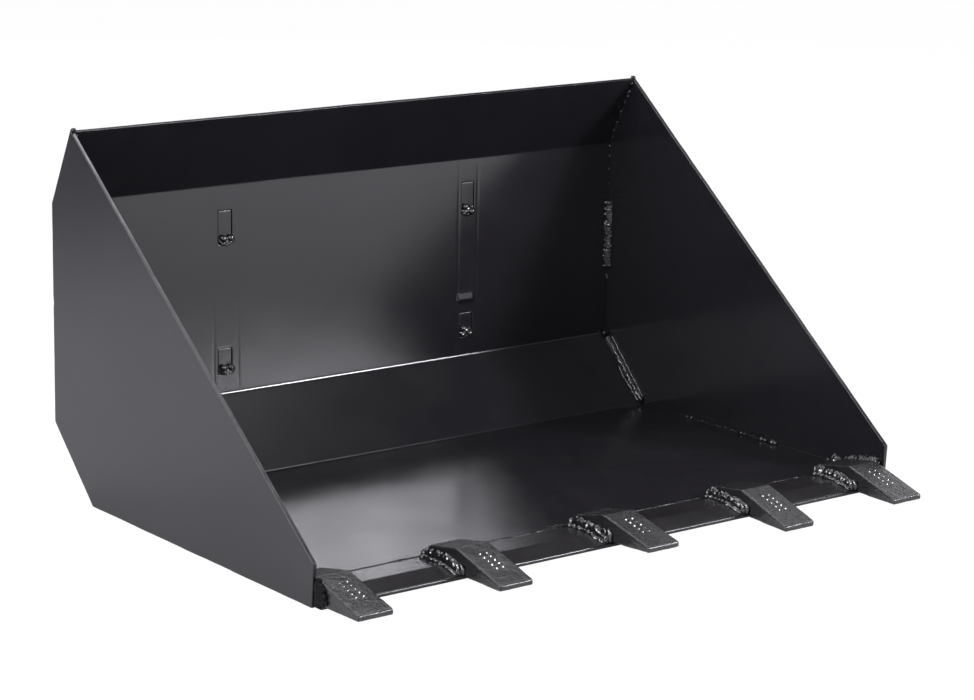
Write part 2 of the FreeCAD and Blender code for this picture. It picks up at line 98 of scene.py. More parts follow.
# cutting edge bar: front y, height of the blunt front, end of the bevel, rear y at the seam
EDGE_THICK, EDGE_FRONT, LAND, BEVEL_Y, SEAM_Y = 12.7, -12.8, 5.3, 24.5, 70.4

# teeth
TOOTH_WIDTH = 57.9
TOOTH_TILT = [0.9, 0.2, 3.0, -2.4, -0.4]            # degrees, nose up
TOOTH_WELD_LIFT = (0.0, 0.0, 4.2, -1.0, 0.0)        # raises the front weld lumps
TIP, RIDGE = (-94.2, 11.6), (3.9, 39.6)
TOOTH_PROFILE = [(-94.8, 3.2), TIP, RIDGE, (66.9, 27.7), (70.0, 13.2), (44.0, 13.2),
                 (37.0, 18.0), (-16.0, 18.0), (-16.0, 3.2)]

# latch ledge between the hitch ribs
LEDGE_Z = (128.0, 140.7)
LATCH_SPACING, LATCH_Y, LATCH_RADIUS = 150.0, 695.0, 16.5

XV, YV, ZV = np.eye(3)


# ------------------------------------------------------------------ noise
def lattice_value(ix, iy, iz, seed):
    h = (ix * 374761393 + iy * 668265263 + iz * 2147483647 + seed * 974634777) & 0xFFFFFFFF
    h = ((h ^ (h >> 13)) * 1274126177) & 0xFFFFFFFF
    h = h ^ (h >> 16)
    return (h & 0xFFFFFF) / float(0xFFFFFF) * 2.0 - 1.0


def noise(points, scale, seed=0):
    """Smooth value noise in -1..1 at points (n, 3), one cell every 1/scale."""
    scaled = np.asarray(points, float) * scale + 1000.0
    cell = np.floor(scaled).astype(np.int64)
    part = scaled - cell
    part = part * part * part * (part * (part * 6 - 15) + 10)
    total = 0
    for corner in np.ndindex(2, 2, 2):
        weight = np.where(np.array(corner) == 1, part, 1 - part)
        value = lattice_value(*(cell + np.array(corner)).T, seed)
        total = total + weight[:, 0] * weight[:, 1] * weight[:, 2] * value
    return total


def fbm(points, scale, octaves, seed):
    """Octaves of noise, each half as strong as the one before."""
    total, gain = 0, 1.0
    for k in range(octaves):
        total = total + gain * noise(points, scale, seed + 17 * k)
        gain *= 0.5
        scale *= 2.03
    return total


# ------------------------------------------------------------------ mesh helpers
def link_object(name, mesh):
    obj = bpy.data.objects.new(name, mesh)
    bpy.context.scene.collection.objects.link(obj)
    return obj


def tidy(mesh):
    """Drop loose points and turn all faces outward."""
    bm = bmesh.new()
    bm.from_mesh(mesh)
    loose = [v for v in bm.verts if not v.link_faces]
    bmesh.ops.delete(bm, geom=loose, context="VERTS")
    bmesh.ops.recalc_face_normals(bm, faces=bm.faces)
    bm.to_mesh(mesh)
    bm.free()


def shade_smooth(mesh):
    mesh.polygons.foreach_set("use_smooth", [True] * len(mesh.polygons))


def mesh_object(name, verts, faces, material):
    mesh = bpy.data.meshes.new(name)
    points = [tuple(v) for v in np.asarray(verts, float) * MM]
    mesh.from_pydata(points, [], [tuple(int(i) for i in f) for f in faces])
    mesh.validate(verbose=False)
    mesh.materials.append(material)
    shade_smooth(mesh)
    mesh.update()
    obj = link_object(name, mesh)
    tidy(mesh)
    return obj


def hand_over(obj, node=None):
    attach(obj, "root")
    if node:
        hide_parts(node)
    return obj


def bevel(obj, name, width, segments, angle):
    modifier = obj.modifiers.new(name, "BEVEL")
    modifier.width = width * MM
    modifier.segments = segments
    modifier.limit_method = "ANGLE"
    modifier.angle_limit = math.radians(angle)
    return modifier


def weighted_normals(obj, weight):
    obj.modifiers.new("flat_faces", "WEIGHTED_NORMAL").weight = weight


def soften(obj, width, segments, angle=30):
    """Round the arrises and keep the flats flat."""
    bevel(obj, "arris", width, segments, angle).use_clamp_overlap = True
    weighted_normals(obj, 100)


def apply_modifiers(obj):
    graph = bpy.context.evaluated_depsgraph_get()
    mesh = bpy.data.meshes.new_from_object(obj.evaluated_get(graph), depsgraph=graph)
    obj.modifiers.clear()
    old = obj.data
    obj.data = mesh
    bpy.data.meshes.remove(old)


def tube_faces(rings, around):
    """Quads joining closed rings of points, ring by ring."""
    faces = []
    for i in range(rings - 1):
        for j in range(around):
            k = (j + 1) % around
            faces.append((i * around + j, i * around + k,
                          (i + 1) * around + k, (i + 1) * around + j))
    return faces


def capped_tube_faces(rings, around):
    last = (rings - 1) * around
    caps = [list(range(around)), list(range(last, last + around))[::-1]]
    return tube_faces(rings, around) + caps


# ------------------------------------------------------------------ materials
class Nodes:
    """Short calls for filling one node tree."""

    def __init__(self, owner, output="OutputMaterial"):
        owner.use_nodes = True
        self.tree = owner.node_tree
        self.tree.nodes.clear()
        self.output = self.add(output)

    def add(self, kind, inputs=None, **settings):
        node = self.tree.nodes.new("ShaderNode" + kind)
        for key, value in settings.items():
            setattr(node, key, value)
        self.feed(node, inputs or {})
        return node

    def feed(self, node, inputs):
        """Link sockets and set plain values on the named inputs."""
        for key, value in inputs.items():
            if isinstance(value, bpy.types.NodeSocket):
                self.tree.links.new(value, node.inputs[key])
            else:
                node.inputs[key].default_value = value

    def finish(self, socket):
        self.feed(self.output, {"Surface": socket})

    def math(self, operation, a, b):
        return self.add("Math", {0: a, 1: b}, operation=operation).outputs[0]

    def mix(self, factor, a, b):
        return self.add("Mix", {0: factor, 6: a, 7: b}, data_type="RGBA").outputs[2]

    def ramp(self, value, low, high, to_low=0.0, to_high=1.0, **settings):
        inputs = {"Value": value, "From Min": low, "From Max": high,
                  "To Min": to_low, "To Max": to_high}
        return self.add("MapRange", inputs, **settings).outputs["Result"]


def paint(name, base, patch, rough, peel, dust, wear, grain=0.0, grain_scale=0.0, wave=0.0,
          spec=0.5, scratch=0.25):
    """Black sprayed steel.

    base, patch: main colour and the colour it drifts to; rough: mean roughness
    peel: orange peel; grain: cast grain and pits; wave: height of slow waves, metres
    dust, wear, scratch: amounts of dust, rubbed arrises and scratches
    """
    material = bpy.data.materials.new(name)
    nodes = Nodes(material)
    shader = nodes.add("BsdfPrincipled")
    coords = nodes.add("TexCoord").outputs["Object"]
    ramp, mix = nodes.ramp, nodes.mix

    def cloud(scale, detail=2.0, roughness=0.5, vector=coords, distortion=0.0):
        inputs = {"Vector": vector, "Scale": scale, "Detail": detail,
                  "Roughness": roughness, "Distortion": distortion}
        return nodes.add("TexNoise", inputs).outputs["Fac"]

    def times(a, b):
        return nodes.math("MULTIPLY", a, b)

    def plus(a, b):
        return nodes.math("ADD", a, b)

    # slow drift and finer mottling of the colour
    drift = ramp(cloud(5.0, detail=3.0), 0.35, 0.7)
    mottled = ramp(cloud(38.0, detail=4.0, roughness=0.6), 0.35, 0.7)
    colour = mix(drift, tuple(c * 0.8 for c in base) + (1,), base + (1,))
    colour = mix(times(mottled, 0.35), colour, patch + (1,))

    # dust lies on upward facing steel, more of it in patches
    geometry = nodes.add("NewGeometry")
    normal = nodes.add("SeparateXYZ", {0: geometry.outputs["Normal"]})
    upward = ramp(normal.outputs["Z"], 0.2, 1.0)
    specks = ramp(cloud(1500.0, detail=1.0), 0.68, 0.8)
    film = ramp(cloud(17.0, detail=5.0, roughness=0.65), 0.45, 0.8)
    dusty = times(plus(times(upward, plus(film, 0.25)), times(specks, 0.3)), dust * 0.10)
    colour = mix(dusty, colour, (0.35, 0.33, 0.31, 1))

    def scratch_lines(stretch, rotation, scale, low, high):
        mapped = nodes.add("Mapping", {"Vector": coords, "Scale": stretch, "Rotation": rotation})
        lines = cloud(scale, detail=3.0, roughness=0.6, vector=mapped.outputs[0], distortion=0.4)
        return ramp(lines, low, high)

    # two families of long shallow scratches, let through in patches
    first = scratch_lines((2.0, 60.0, 240.0), (0.3, 0.2, 0.5), scale=9.0, low=0.70, high=0.74)
    second = scratch_lines((150.0, 6.0, 30.0), (0.9, -0.4, 0.2), scale=5.0, low=0.72, high=0.76)
    scratches = nodes.math("MAXIMUM", first, second)
    gate = ramp(cloud(7.0), 0.5, 0.68)
    scratches = times(times(scratches, gate), scratch)
    colour = mix(times(scratches, 0.25), colour, (0.10, 0.10, 0.105, 1))

    if wear > 0:
        arris = ramp(geometry.outputs["Pointiness"], 0.52, 0.60)
        chips = ramp(cloud(420.0, detail=4.0, roughness=0.7), 0.52, 0.62)
        colour = mix(times(times(arris, chips), wear), colour, (0.24, 0.235, 0.23, 1))

    roughness = ramp(cloud(11.0, detail=4.0, roughness=0.6), 0.3, 0.75,
                     to_low=rough - 0.03, to_high=rough + 0.035)
    roughness = plus(roughness, times(dusty, 1.2))
    roughness = plus(roughness, times(scratches, -0.06))

    # height, strength, distance: each bump is laid over the one before
    bumps = []
    if wave > 0:
        bumps.append((cloud(5.5, detail=1.0), 1.0, wave))
    bumps.append((cloud(420.0, detail=1.5), peel, 0.00006))
    if grain > 0:
        bumps.append((cloud(grain_scale, detail=4.0, roughness=0.65), grain, 0.0005))
        pits = ramp(cloud(260.0, detail=3.0, roughness=0.6), 0.30, 0.42)
        bumps.append((pits, grain * 0.8, 0.0005))
    bumps.append((times(scratches, -1.0), 0.25, 0.0001))
    bumps.append((specks, 0.03, 0.0001))
    below = {}
    for height, strength, distance in bumps:
        bump = nodes.add("Bump", {"Height": height, "Strength": strength,
                                  "Distance": distance, **below})
        below = {"Normal": bump.outputs["Normal"]}

    nodes.feed(shader, {"Base Color": colour, "Roughness": roughness,
                        "Specular IOR Level": spec, "Coat Roughness": 0.2, **below})
    nodes.finish(shader.outputs["BSDF"])
    return material


BODY_PAINT = paint("body_paint", (0.0085, 0.0078, 0.0098), (0.0125, 0.0118, 0.0128), rough=0.19,
                   peel=0.015, wave=0.0002, dust=0.12, wear=0.10, scratch=0.15)
EDGE_PAINT = paint("edge_paint", (0.0095, 0.0088, 0.0102), (0.0140, 0.0130, 0.0135), rough=0.20,
                   peel=0.12, grain=0.02, grain_scale=700, dust=0.2, wear=0.20, scratch=0.2)
TOOTH_CAST = paint("tooth_cast", (0.0105, 0.0100, 0.0104), (0.0160, 0.0152, 0.0150), rough=0.24,
                   peel=0.2, grain=0.55, grain_scale=430, dust=0.25, wear=0.30, spec=0.6)
HITCH_PAINT = paint("hitch_paint", (0.0085, 0.0078, 0.0096), (0.0125, 0.0118, 0.0122),
                    rough=0.21, peel=0.12, wave=0.0003, dust=0.14, wear=0.2)
STUD_PAINT = paint("tooth_stud", (0.0170, 0.0162, 0.0165), (0.0240, 0.0228, 0.0220), rough=0.16,
                   peel=0.1, dust=0.1, wear=0.0, spec=0.8, scratch=0.0)
# darker, duller weld paint with weak specular, for the heaped weld in front of the side plates
DARK_DULL_WELD = paint("dark_dull_weld", (0.0042, 0.0040, 0.0044), (0.0070, 0.0066, 0.0068), rough=0.40,
             peel=0.4, grain=0.3, grain_scale=500, dust=0.02, wear=0.0, scratch=0.0, spec=0.07)
WELD_PAINT = paint("weld_paint", (0.0075, 0.0070, 0.0080), (0.0105, 0.0100, 0.0102), rough=0.10,
                   peel=0.10, dust=0.10, wear=0.05, scratch=0.0)
BRIGHT_WELD = paint("tooth_weld_paint", (0.0075, 0.0070, 0.0080), (0.0105, 0.0100, 0.0102),
                    rough=0.095, peel=0.10, dust=0.06, wear=0.05, scratch=0.0, spec=1.0)
SEAM_PAINT = paint("seam_paint", (0.0060, 0.0056, 0.0062), (0.0090, 0.0086, 0.0088), rough=0.20,
                   peel=0.2, dust=0.05, wear=0.0, scratch=0.0, spec=0.22)


# ------------------------------------------------------------------ sheet geometry
def unit(v):
    v = np.asarray(v, float)
    return v / np.linalg.norm(v)


def inward(a, b):
    """Normal of the (y, z) line a-b that points into the bucket."""
    u = unit(b - a)
    n = np.array([-u[1], u[0]])
    return n if np.dot(np.array([300.0, 250.0]) - a, n) > 0 else -n


def offset_inward(outer):
    """Corners of the inner face of the sheet; the floor's front end is cut upright."""
    corners = [outer[0] + inward(outer[0], outer[1]) * SHEET_THICK]
    for before, here, after in zip(outer, outer[1:], outer[2:]):
        n = inward(before, here)
        both = n + inward(here, after)
        corners.append(here + both * (SHEET_THICK / np.dot(both, n)))
    rise = SHEET_THICK / abs(inward(outer[-2], outer[-1])[1])
    corners.append(np.array([outer[-1][0], outer[-1][1] + rise]))
    return corners


SHEET_INNER = offset_inward(SHEET_OUTER)
LEAN = ((SHEET_OUTER[1][0] - SHEET_OUTER[2][0]) / (SHEET_OUTER[1][1] - SHEET_OUTER[2][1]))
BACK_UP = unit(np.array([0, LEAN, 1.0]))
BACK_REAR = np.array([0, BACK_UP[2], -BACK_UP[1]])


def back_y(z):
    """Outer face of the back at height z."""
    return SHEET_OUTER[2][0] + (z - SHEET_OUTER[2][1]) * LEAN


def in_3d(point, x=0.0):
    return np.array([x, point[0], point[1]])


def on_sheet(panel, along):
    """Point, running direction and inward normal on the inner face of a panel, at x = 0."""
    start, end = SHEET_INNER[panel], SHEET_INNER[panel + 1]
    run = unit(end - start)
    normal = inward(SHEET_OUTER[panel], SHEET_OUTER[panel + 1])
    return in_3d(start + run * along), in_3d(run), in_3d(normal)


def panel_length(panel):
    return float(np.linalg.norm(SHEET_INNER[panel + 1] - SHEET_INNER[panel]))


def on_metal(point):
    """True on the inside of the sheet, on top of the bar or on the inside of a side plate."""
    x, spot = abs(point[0]), point[1:]
    if x > INNER + 0.3:
        return False
    path = SHEET_INNER + [np.array([BEVEL_Y, EDGE_THICK]), np.array([EDGE_FRONT + 3.0, LAND + 0.6])]
    for start, end in zip(path[:-1], path[1:]):
        run = end - start
        t = np.clip(np.dot(spot - start, run) / np.dot(run, run), 0.005, 0.995)
        if np.linalg.norm(spot - (start + run * t)) < 1.5:
            return x < INNER - 0.8
    if x < INNER - 0.8:
        return False
    # crossing test against the outline of the plate's inner face
    ring = SHEET_INNER + [(2.0, 13.0), (NOSE[0] + 3, NOSE[1] - 3), (LIP[0] - 3, LIP[1] - 6)]
    y, z = spot
    inside = False
    for (y0, z0), (y1, z1) in zip(ring[-1:] + ring[:-1], ring):
        if (z0 > z) != (z1 > z) and y < (y1 - y0) * (z - z0) / (z1 - z0) + y0:
            inside = not inside
    return inside


# ------------------------------------------------------------------ folded shell
def back_rows():
    """Heights of the mesh rows on the back, with one at each slot end."""
    ends = [z for slot in SLOT_Z for z in slot]
    bands = ((118.0, 192.0, 6.0), (193.0, 214.0, 1.75), (218.0, 424.0, 6.0))
    rows = {round(z, 3) for band in bands for z in np.arange(*band)} | set(ends)
    return sorted((z for z in rows if not any(0 < abs(z - v) < 1.2 for v in ends)), reverse=True)


def row_fractions(panel, start, end):
    if panel == BACK:
        inner_rows = [(z - start[1]) / (end[1] - start[1]) for z in back_rows()]
        return [t for t in [0.0] + inner_rows + [1.0] if -1e-9 <= t <= 1 + 1e-9]
    step = 8.0 if panel == FLOOR else 7.0
    count = max(2, int(round(np.linalg.norm(end - start) / step)))
    return list(np.linspace(0, 1, count + 1))


def rounded_path(corners, radii):
    """Points and inward normals of the open (y, z) path with filleted corners."""
    points, normals = [], []
    start = corners[0]
    for k in range(1, len(corners)):
        corner = corners[k]
        normal = inward(corners[k - 1], corner)
        run = unit(corner - corners[k - 1])
        end = corner
        filleted = k < len(corners) - 1
        if filleted:
            radius = radii[k - 1]
            next_run = unit(corners[k + 1] - corner)
            turn = math.acos(np.clip(np.dot(run, next_run), -1, 1))
            cut = radius * math.tan(turn / 2)
            end = corner - run * cut
        for t in row_fractions(k - 1, start, end):
            points.append(start + (end - start) * t)
            normals.append(normal)
        if filleted:
            next_normal = inward(corner, corners[k + 1])
            centre = end + normal * radius
            for j in range(1, ARC_STEPS):
                t = j / ARC_STEPS
                ray = unit(normal * math.sin((1 - t) * turn) + next_normal * math.sin(t * turn))
                points.append(centre - ray * radius)
                normals.append(ray)
            start = corner + next_run * cut
    return np.array(points), np.array(normals)


def shell_columns(slot_edges):
    """x of the mesh columns: even spacing, the slot edges and a fine set at each groove."""
    xs = set(np.round(np.linspace(-INNER, INNER, 177), 3)) | set(slot_edges)
    for groove_x, _ in GROOVES:
        for offset in (-5, -3.4, -2.2, -1.1, 0, 1.1, 2.2, 3.4, 5):
            xs.add(round(groove_x + offset, 3))
    kept = []
    for x in sorted(xs):
        if x not in slot_edges:
            if any(abs(x - edge) < 1.0 for edge in slot_edges):
                continue
            if kept and x - kept[-1] < 0.8:
                continue
        kept.append(x)
    return np.array(kept)


def sheet_face(columns, path, normals, waviness, is_inner):
    """Grid of points of one face of the sheet, path row by path row."""
    x, row = np.meshgrid(columns, np.arange(len(path)))
    points = np.stack([x, path[row, 0], path[row, 1]], -1).reshape(-1, 3)
    raised = np.stack([np.zeros_like(x), normals[row, 0], normals[row, 1]], -1).reshape(-1, 3)
    fade = np.clip((INNER - np.abs(points[:, 0])) / 60.0, 0, 1)
    fade = fade * fade * (3 - 2 * fade)
    shift = waviness * fbm(points, 1 / 170.0, 2, 3) * fade
    if is_inner:
        x, y, z = points.T
        on_back = (y > 640) & (z > 112) & (z < 428)
        ends = np.clip((z - 100.0) / 14.0, 0, 1) * np.clip((436.0 - z) / 14.0, 0, 1)
        uneven = 0.6 + 0.4 * noise(points, 1 / 25.0, 8)
        for groove_x, strength in GROOVES:
            away = x - groove_x
            profile = -0.32 * np.exp(-(away / 2.5) ** 2) + 0.08 * np.exp(-(away / 7.0) ** 2)
            shift = shift + on_back * ends * uneven * strength * profile
        # small raised patch above the lower right slot: its face tips upward
        across = np.clip((17.5 - abs(x - 226.0)) / 3.0, 0, 1)
        rise = np.where(z > 199.5, np.clip((212.0 - z) / 12.5, 0, 1),
                        np.clip((z - 194.0) / 5.5, 0, 1))
        shift = shift + 2.6 * across * rise * (y > 640) * (z < 213) * (z > 193)
    points = points + raised * shift[:, None]
    # the cut edge at the lip wanders slightly
    top = points[:len(columns)]
    top[:, 2] += 0.22 * noise(top, 1 / 45.0, 5) + 0.10 * noise(top, 1 / 9.0, 6)
    return points


def build_shell():
    radii = np.array([FOLD_RADIUS + 1.5, FOLD_RADIUS, FOLD_RADIUS])
    in_path, in_normals = rounded_path(SHEET_INNER, radii)
    out_path, out_normals = rounded_path(SHEET_OUTER, (
        FOLD_RADIUS + SHEET_THICK + 1.5, FOLD_RADIUS + SHEET_THICK, FOLD_RADIUS + SHEET_THICK))
    slot_edges = [round(rib + o, 3) for rib in RIB_X.values() for o in (-SLOT_HALF, SLOT_HALF)]
    xs = shell_columns(slot_edges)
    width = len(xs)
    in_rows, out_rows = len(in_path), len(out_path)
    verts = np.concatenate([sheet_face(xs, in_path, in_normals, 0.16, True),
                            sheet_face(xs, out_path, out_normals, 0.22, False)])
    faces = []

    def inner(row, column):
        return row * width + column

    def outer(row, column):
        return (in_rows + row) * width + column

    def bridge(a, b):
        """Quad through the thickness; a and b are (inner row, outer row, column)."""
        return inner(a[0], a[2]), inner(b[0], b[2]), outer(b[1], b[2]), outer(a[1], a[2])

    def in_slot(path, row, column):
        if path[row, 0] < 640:
            return False
        z = (path[row, 1] + path[row + 1, 1]) / 2
        x = (xs[column] + xs[column + 1]) / 2
        return (any(low < z < high for low, high in SLOT_Z)
                and any(abs(x - rib) < SLOT_HALF for rib in RIB_X.values()))

    for index, path, order in ((inner, in_path, -1), (outer, out_path, 1)):
        for j in range(len(path) - 1):
            for i in range(width - 1):
                if not in_slot(path, j, i):
                    quad = (index(j, i), index(j, i + 1), index(j + 1, i + 1), index(j + 1, i))
                    faces.append(quad[::order])

    # end of the lip and front end of the floor
    in_last, out_last = in_rows - 1, out_rows - 1
    for i in range(width - 1):
        faces.append(bridge((0, 0, i), (0, 0, i + 1)))
        faces.append(bridge((in_last, out_last, i + 1), (in_last, out_last, i)))

    # sheared ends at the side plates: triangles that advance on the nearer path
    for i, order in ((0, 1), (width - 1, -1)):
        ja = jb = 0
        while ja < in_last or jb < out_last:
            reach_in = reach_out = 1e9
            if ja < in_last:
                reach_in = np.linalg.norm(in_path[ja + 1] - out_path[jb])
            if jb < out_last:
                reach_out = np.linalg.norm(out_path[jb + 1] - in_path[ja])
            if reach_in <= reach_out:
                triangle = (inner(ja, i), inner(ja + 1, i), outer(jb, i))
                ja += 1
            else:
                triangle = (inner(ja, i), outer(jb + 1, i), outer(jb, i))
                jb += 1
            faces.append(triangle[::order])

    def row_at(path, z):
        rear = np.where(path[:, 0] > 640)[0]
        return int(rear[np.argmin(abs(path[rear, 1] - z))])

    # walls of the slots
    for rib in RIB_X.values():
        i0, i1 = (int(np.argmin(abs(xs - (rib + o)))) for o in (-SLOT_HALF, SLOT_HALF))
        for low, high in SLOT_Z:
            a0, a1 = row_at(in_path, high), row_at(in_path, low)
            b0, b1 = row_at(out_path, high), row_at(out_path, low)
            for i in range(i0, i1):
                faces.append(bridge((a0, b0, i + 1), (a0, b0, i))[::-1])
                faces.append(bridge((a1, b1, i), (a1, b1, i + 1))[::-1])
            for k in range(a1 - a0):
                a, b = a0 + k, b0 + k
                faces.append(bridge((a, b, i0), (a + 1, b + 1, i0))[::-1])
                faces.append(bridge((a + 1, b + 1, i1), (a, b, i1))[::-1])

    shell = mesh_object("shell_folded_sheet", verts, faces, BODY_PAINT)
    soften(shell, 0.55, 2, angle=50)
    hand_over(shell, "shell_sheet")


# ------------------------------------------------------------------ flat plates
def outline_plate(name, node, outline, x0, x1, material, arris, segments=3, step=400.0,
                  wander=0.0, seed=0, nick=None):
    """Plate from x0 to x1 with a (y, z) outline whose cut edges wander.

    nick: y, z, radius, depth of a dent in the edge; arris 0 leaves the edges sharp
    """
    points = []
    for a, b in zip(outline, outline[1:] + outline[:1]):
        a, b = np.array(a, float), np.array(b, float)
        length = np.linalg.norm(b - a)
        count = max(1, int(round(length / step)))
        normal = np.array([(b - a)[1], -(b - a)[0]]) / length
        for j in range(count):
            t = j / count
            p = a + (b - a) * t
            if wander > 0 and j > 0:
                q = np.array([[p[0], p[1], seed * 31.7]])
                fade = min(1.0, min(t, 1 - t) * length / 12.0)
                wave = noise(q, 1 / 42.0, seed)[0] + 0.45 * noise(q, 1 / 11.0, seed + 4)[0]
                p = p + normal * float(wander * wave) * fade
            if nick:
                y, z, radius, depth = nick
                distance = math.hypot(p[0] - y, p[1] - z)
                if distance < radius:
                    inwards = np.array([300 - p[0], 250 - p[1]]) / 400.0
                    p = p + inwards * depth * (1 - distance / radius)
            points.append(p)
    m = len(points)
    verts = [in_3d(p, x) for x in (x0, x1) for p in points]
    faces = [list(range(m))[::-1], list(range(m, 2 * m))]
    for i in range(m):
        j = (i + 1) % m
        faces.append([i, j, m + j, m + i])
    plate = mesh_object(name, verts, faces, material)
    if arris:
        soften(plate, arris, segments)
    return hand_over(plate, node)


def build_side_plates():
    # the left plate carries a small nick on its rear edge
    for side, x0, x1, seed, nick in (("left", -HALF, -INNER, 3, (665.5, 285.0, 9.0, 1.6)),
                                     ("right", INNER, HALF, 9, None)):
        outline_plate("side_plate_%s_cut" % side, "side_plate_" + side, PLATE, x0, x1, BODY_PAINT,
                      arris=1.3, segments=4, step=6.0, wander=0.35, seed=seed,
                      nick=nick)


# ------------------------------------------------------------------ cutting edge
def edge_profile():
    """(y, z) ring: up the blunt front, over the bevel and flat top, down the rear, back below."""
    ring = [(EDGE_FRONT, 0.0), (EDGE_FRONT, LAND - 2.0)]
    for degrees in (10, 20, 30, 40, 52, 66):
        a = math.radians(degrees)
        ring.append((EDGE_FRONT + 2.3 - 2.3 * math.cos(a), LAND - 2.0 + 2.2 * math.sin(a)))
    start = np.array([EDGE_FRONT + 2.2, LAND + 0.42])
    end = np.array([BEVEL_Y - 0.8, EDGE_THICK - 0.16])
    ring += [tuple(start + (end - start) * t) for t in np.linspace(0, 1, 7)[:-1]]
    ring += [(BEVEL_Y - 0.5, EDGE_THICK - 0.10), (BEVEL_Y + 0.4, EDGE_THICK)]
    ring += [(y, EDGE_THICK) for y in np.linspace(BEVEL_Y + 5, SEAM_Y - 1.6, 7)]
    for degrees in (0, 30, 60, 90):
        a = math.radians(degrees)
        ring.append((SEAM_Y - 1.3 + 1.2 * math.sin(a), EDGE_THICK - 1.2 + 1.2 * math.cos(a)))
    return ring + [(SEAM_Y - 0.1, 5.0), (SEAM_Y - 0.1, 0.6), (SEAM_Y - 0.7, 0.0), (35.0, 0.0)]


def build_edge():
    ring = edge_profile()
    xs = np.linspace(-INNER + 0.05, INNER - 0.05, 240)
    points = np.array([(x, y, z) for x in xs for y, z in ring])
    uneven = (0.18 * fbm(points * np.array([1, 0.2, 0.2]), 1 / 30.0, 2, 21)
              + 0.10 * noise(points * np.array([1, 0.4, 0.4]), 1 / 6.0, 22))
    _, y, z = points.T     # views, so the points move with them
    z += np.where((y < BEVEL_Y + 1) & (z > 1.0), uneven, 0.0)
    y += np.where(y < EDGE_FRONT + 1.5, 0.8 * uneven, 0.0)
    z += np.where((y > BEVEL_Y + 1) & (z > 6), 0.05 * fbm(points, 1 / 60.0, 2, 23), 0.0)
    bar = mesh_object("cutting_edge_bar", points, capped_tube_faces(len(xs), len(ring)), EDGE_PAINT)
    weighted_normals(bar, 60)
    hand_over(bar, "cutting_edge")


# ------------------------------------------------------------------ deposits
def track(s, lane, seed):
    """Noise points along a bead; each lane reads its own part of the noise."""
    return np.stack([s, s * 0 + lane, s * 0 + seed], 1)


def resample(path, first, second, step, taper):
    """Even stations along a path.

    Returns distance, point, both unit directions and a 0..1 swelling that closes the ends.
    """
    path = np.asarray(path, float)
    reach = np.r_[0, np.cumsum(np.linalg.norm(np.diff(path, axis=0), axis=1))]
    length = reach[-1]
    count = max(6, int(round(length / (step or (0.8)))))
    s = np.linspace(0, length, count + 1)

    def spread(values):
        values = np.broadcast_to(np.asarray(values, float), path.shape)
        return np.stack([np.interp(s, reach, values[:, k]) for k in range(3)], 1)

    points, u, v = spread(path), spread(first), spread(second)
    u /= np.linalg.norm(u, axis=1)[:, None]
    v /= np.linalg.norm(v, axis=1)[:, None]
    taper = min(taper, length / 2.2)
    end = np.minimum(s, length - s)
    swell = np.where(end < taper, np.sqrt(np.clip(1 - (1 - end / taper) ** 2, 0.02, 1)), 1.0)
    return s, points, u, v, swell


def crescents(s, t, pitch, seed, bow):
    """Overlapping scales of a hand laid bead: 0..1, s along, t across 0..1."""
    warp = 0.30 * noise(track(s, 0, seed), 1 / (2.3 * pitch), seed)
    phase = (s / pitch + warp)[:, None] + bow * (2 * t - 1) ** 2
    part = phase - np.floor(phase)
    rising = np.sin(np.minimum(part, 0.78) / 0.78 * math.pi / 2) ** 0.8
    falling = np.cos((np.maximum(part, 0.78) - 0.78) / 0.22 * math.pi / 2)
    return np.where(part < 0.78, rising, falling)


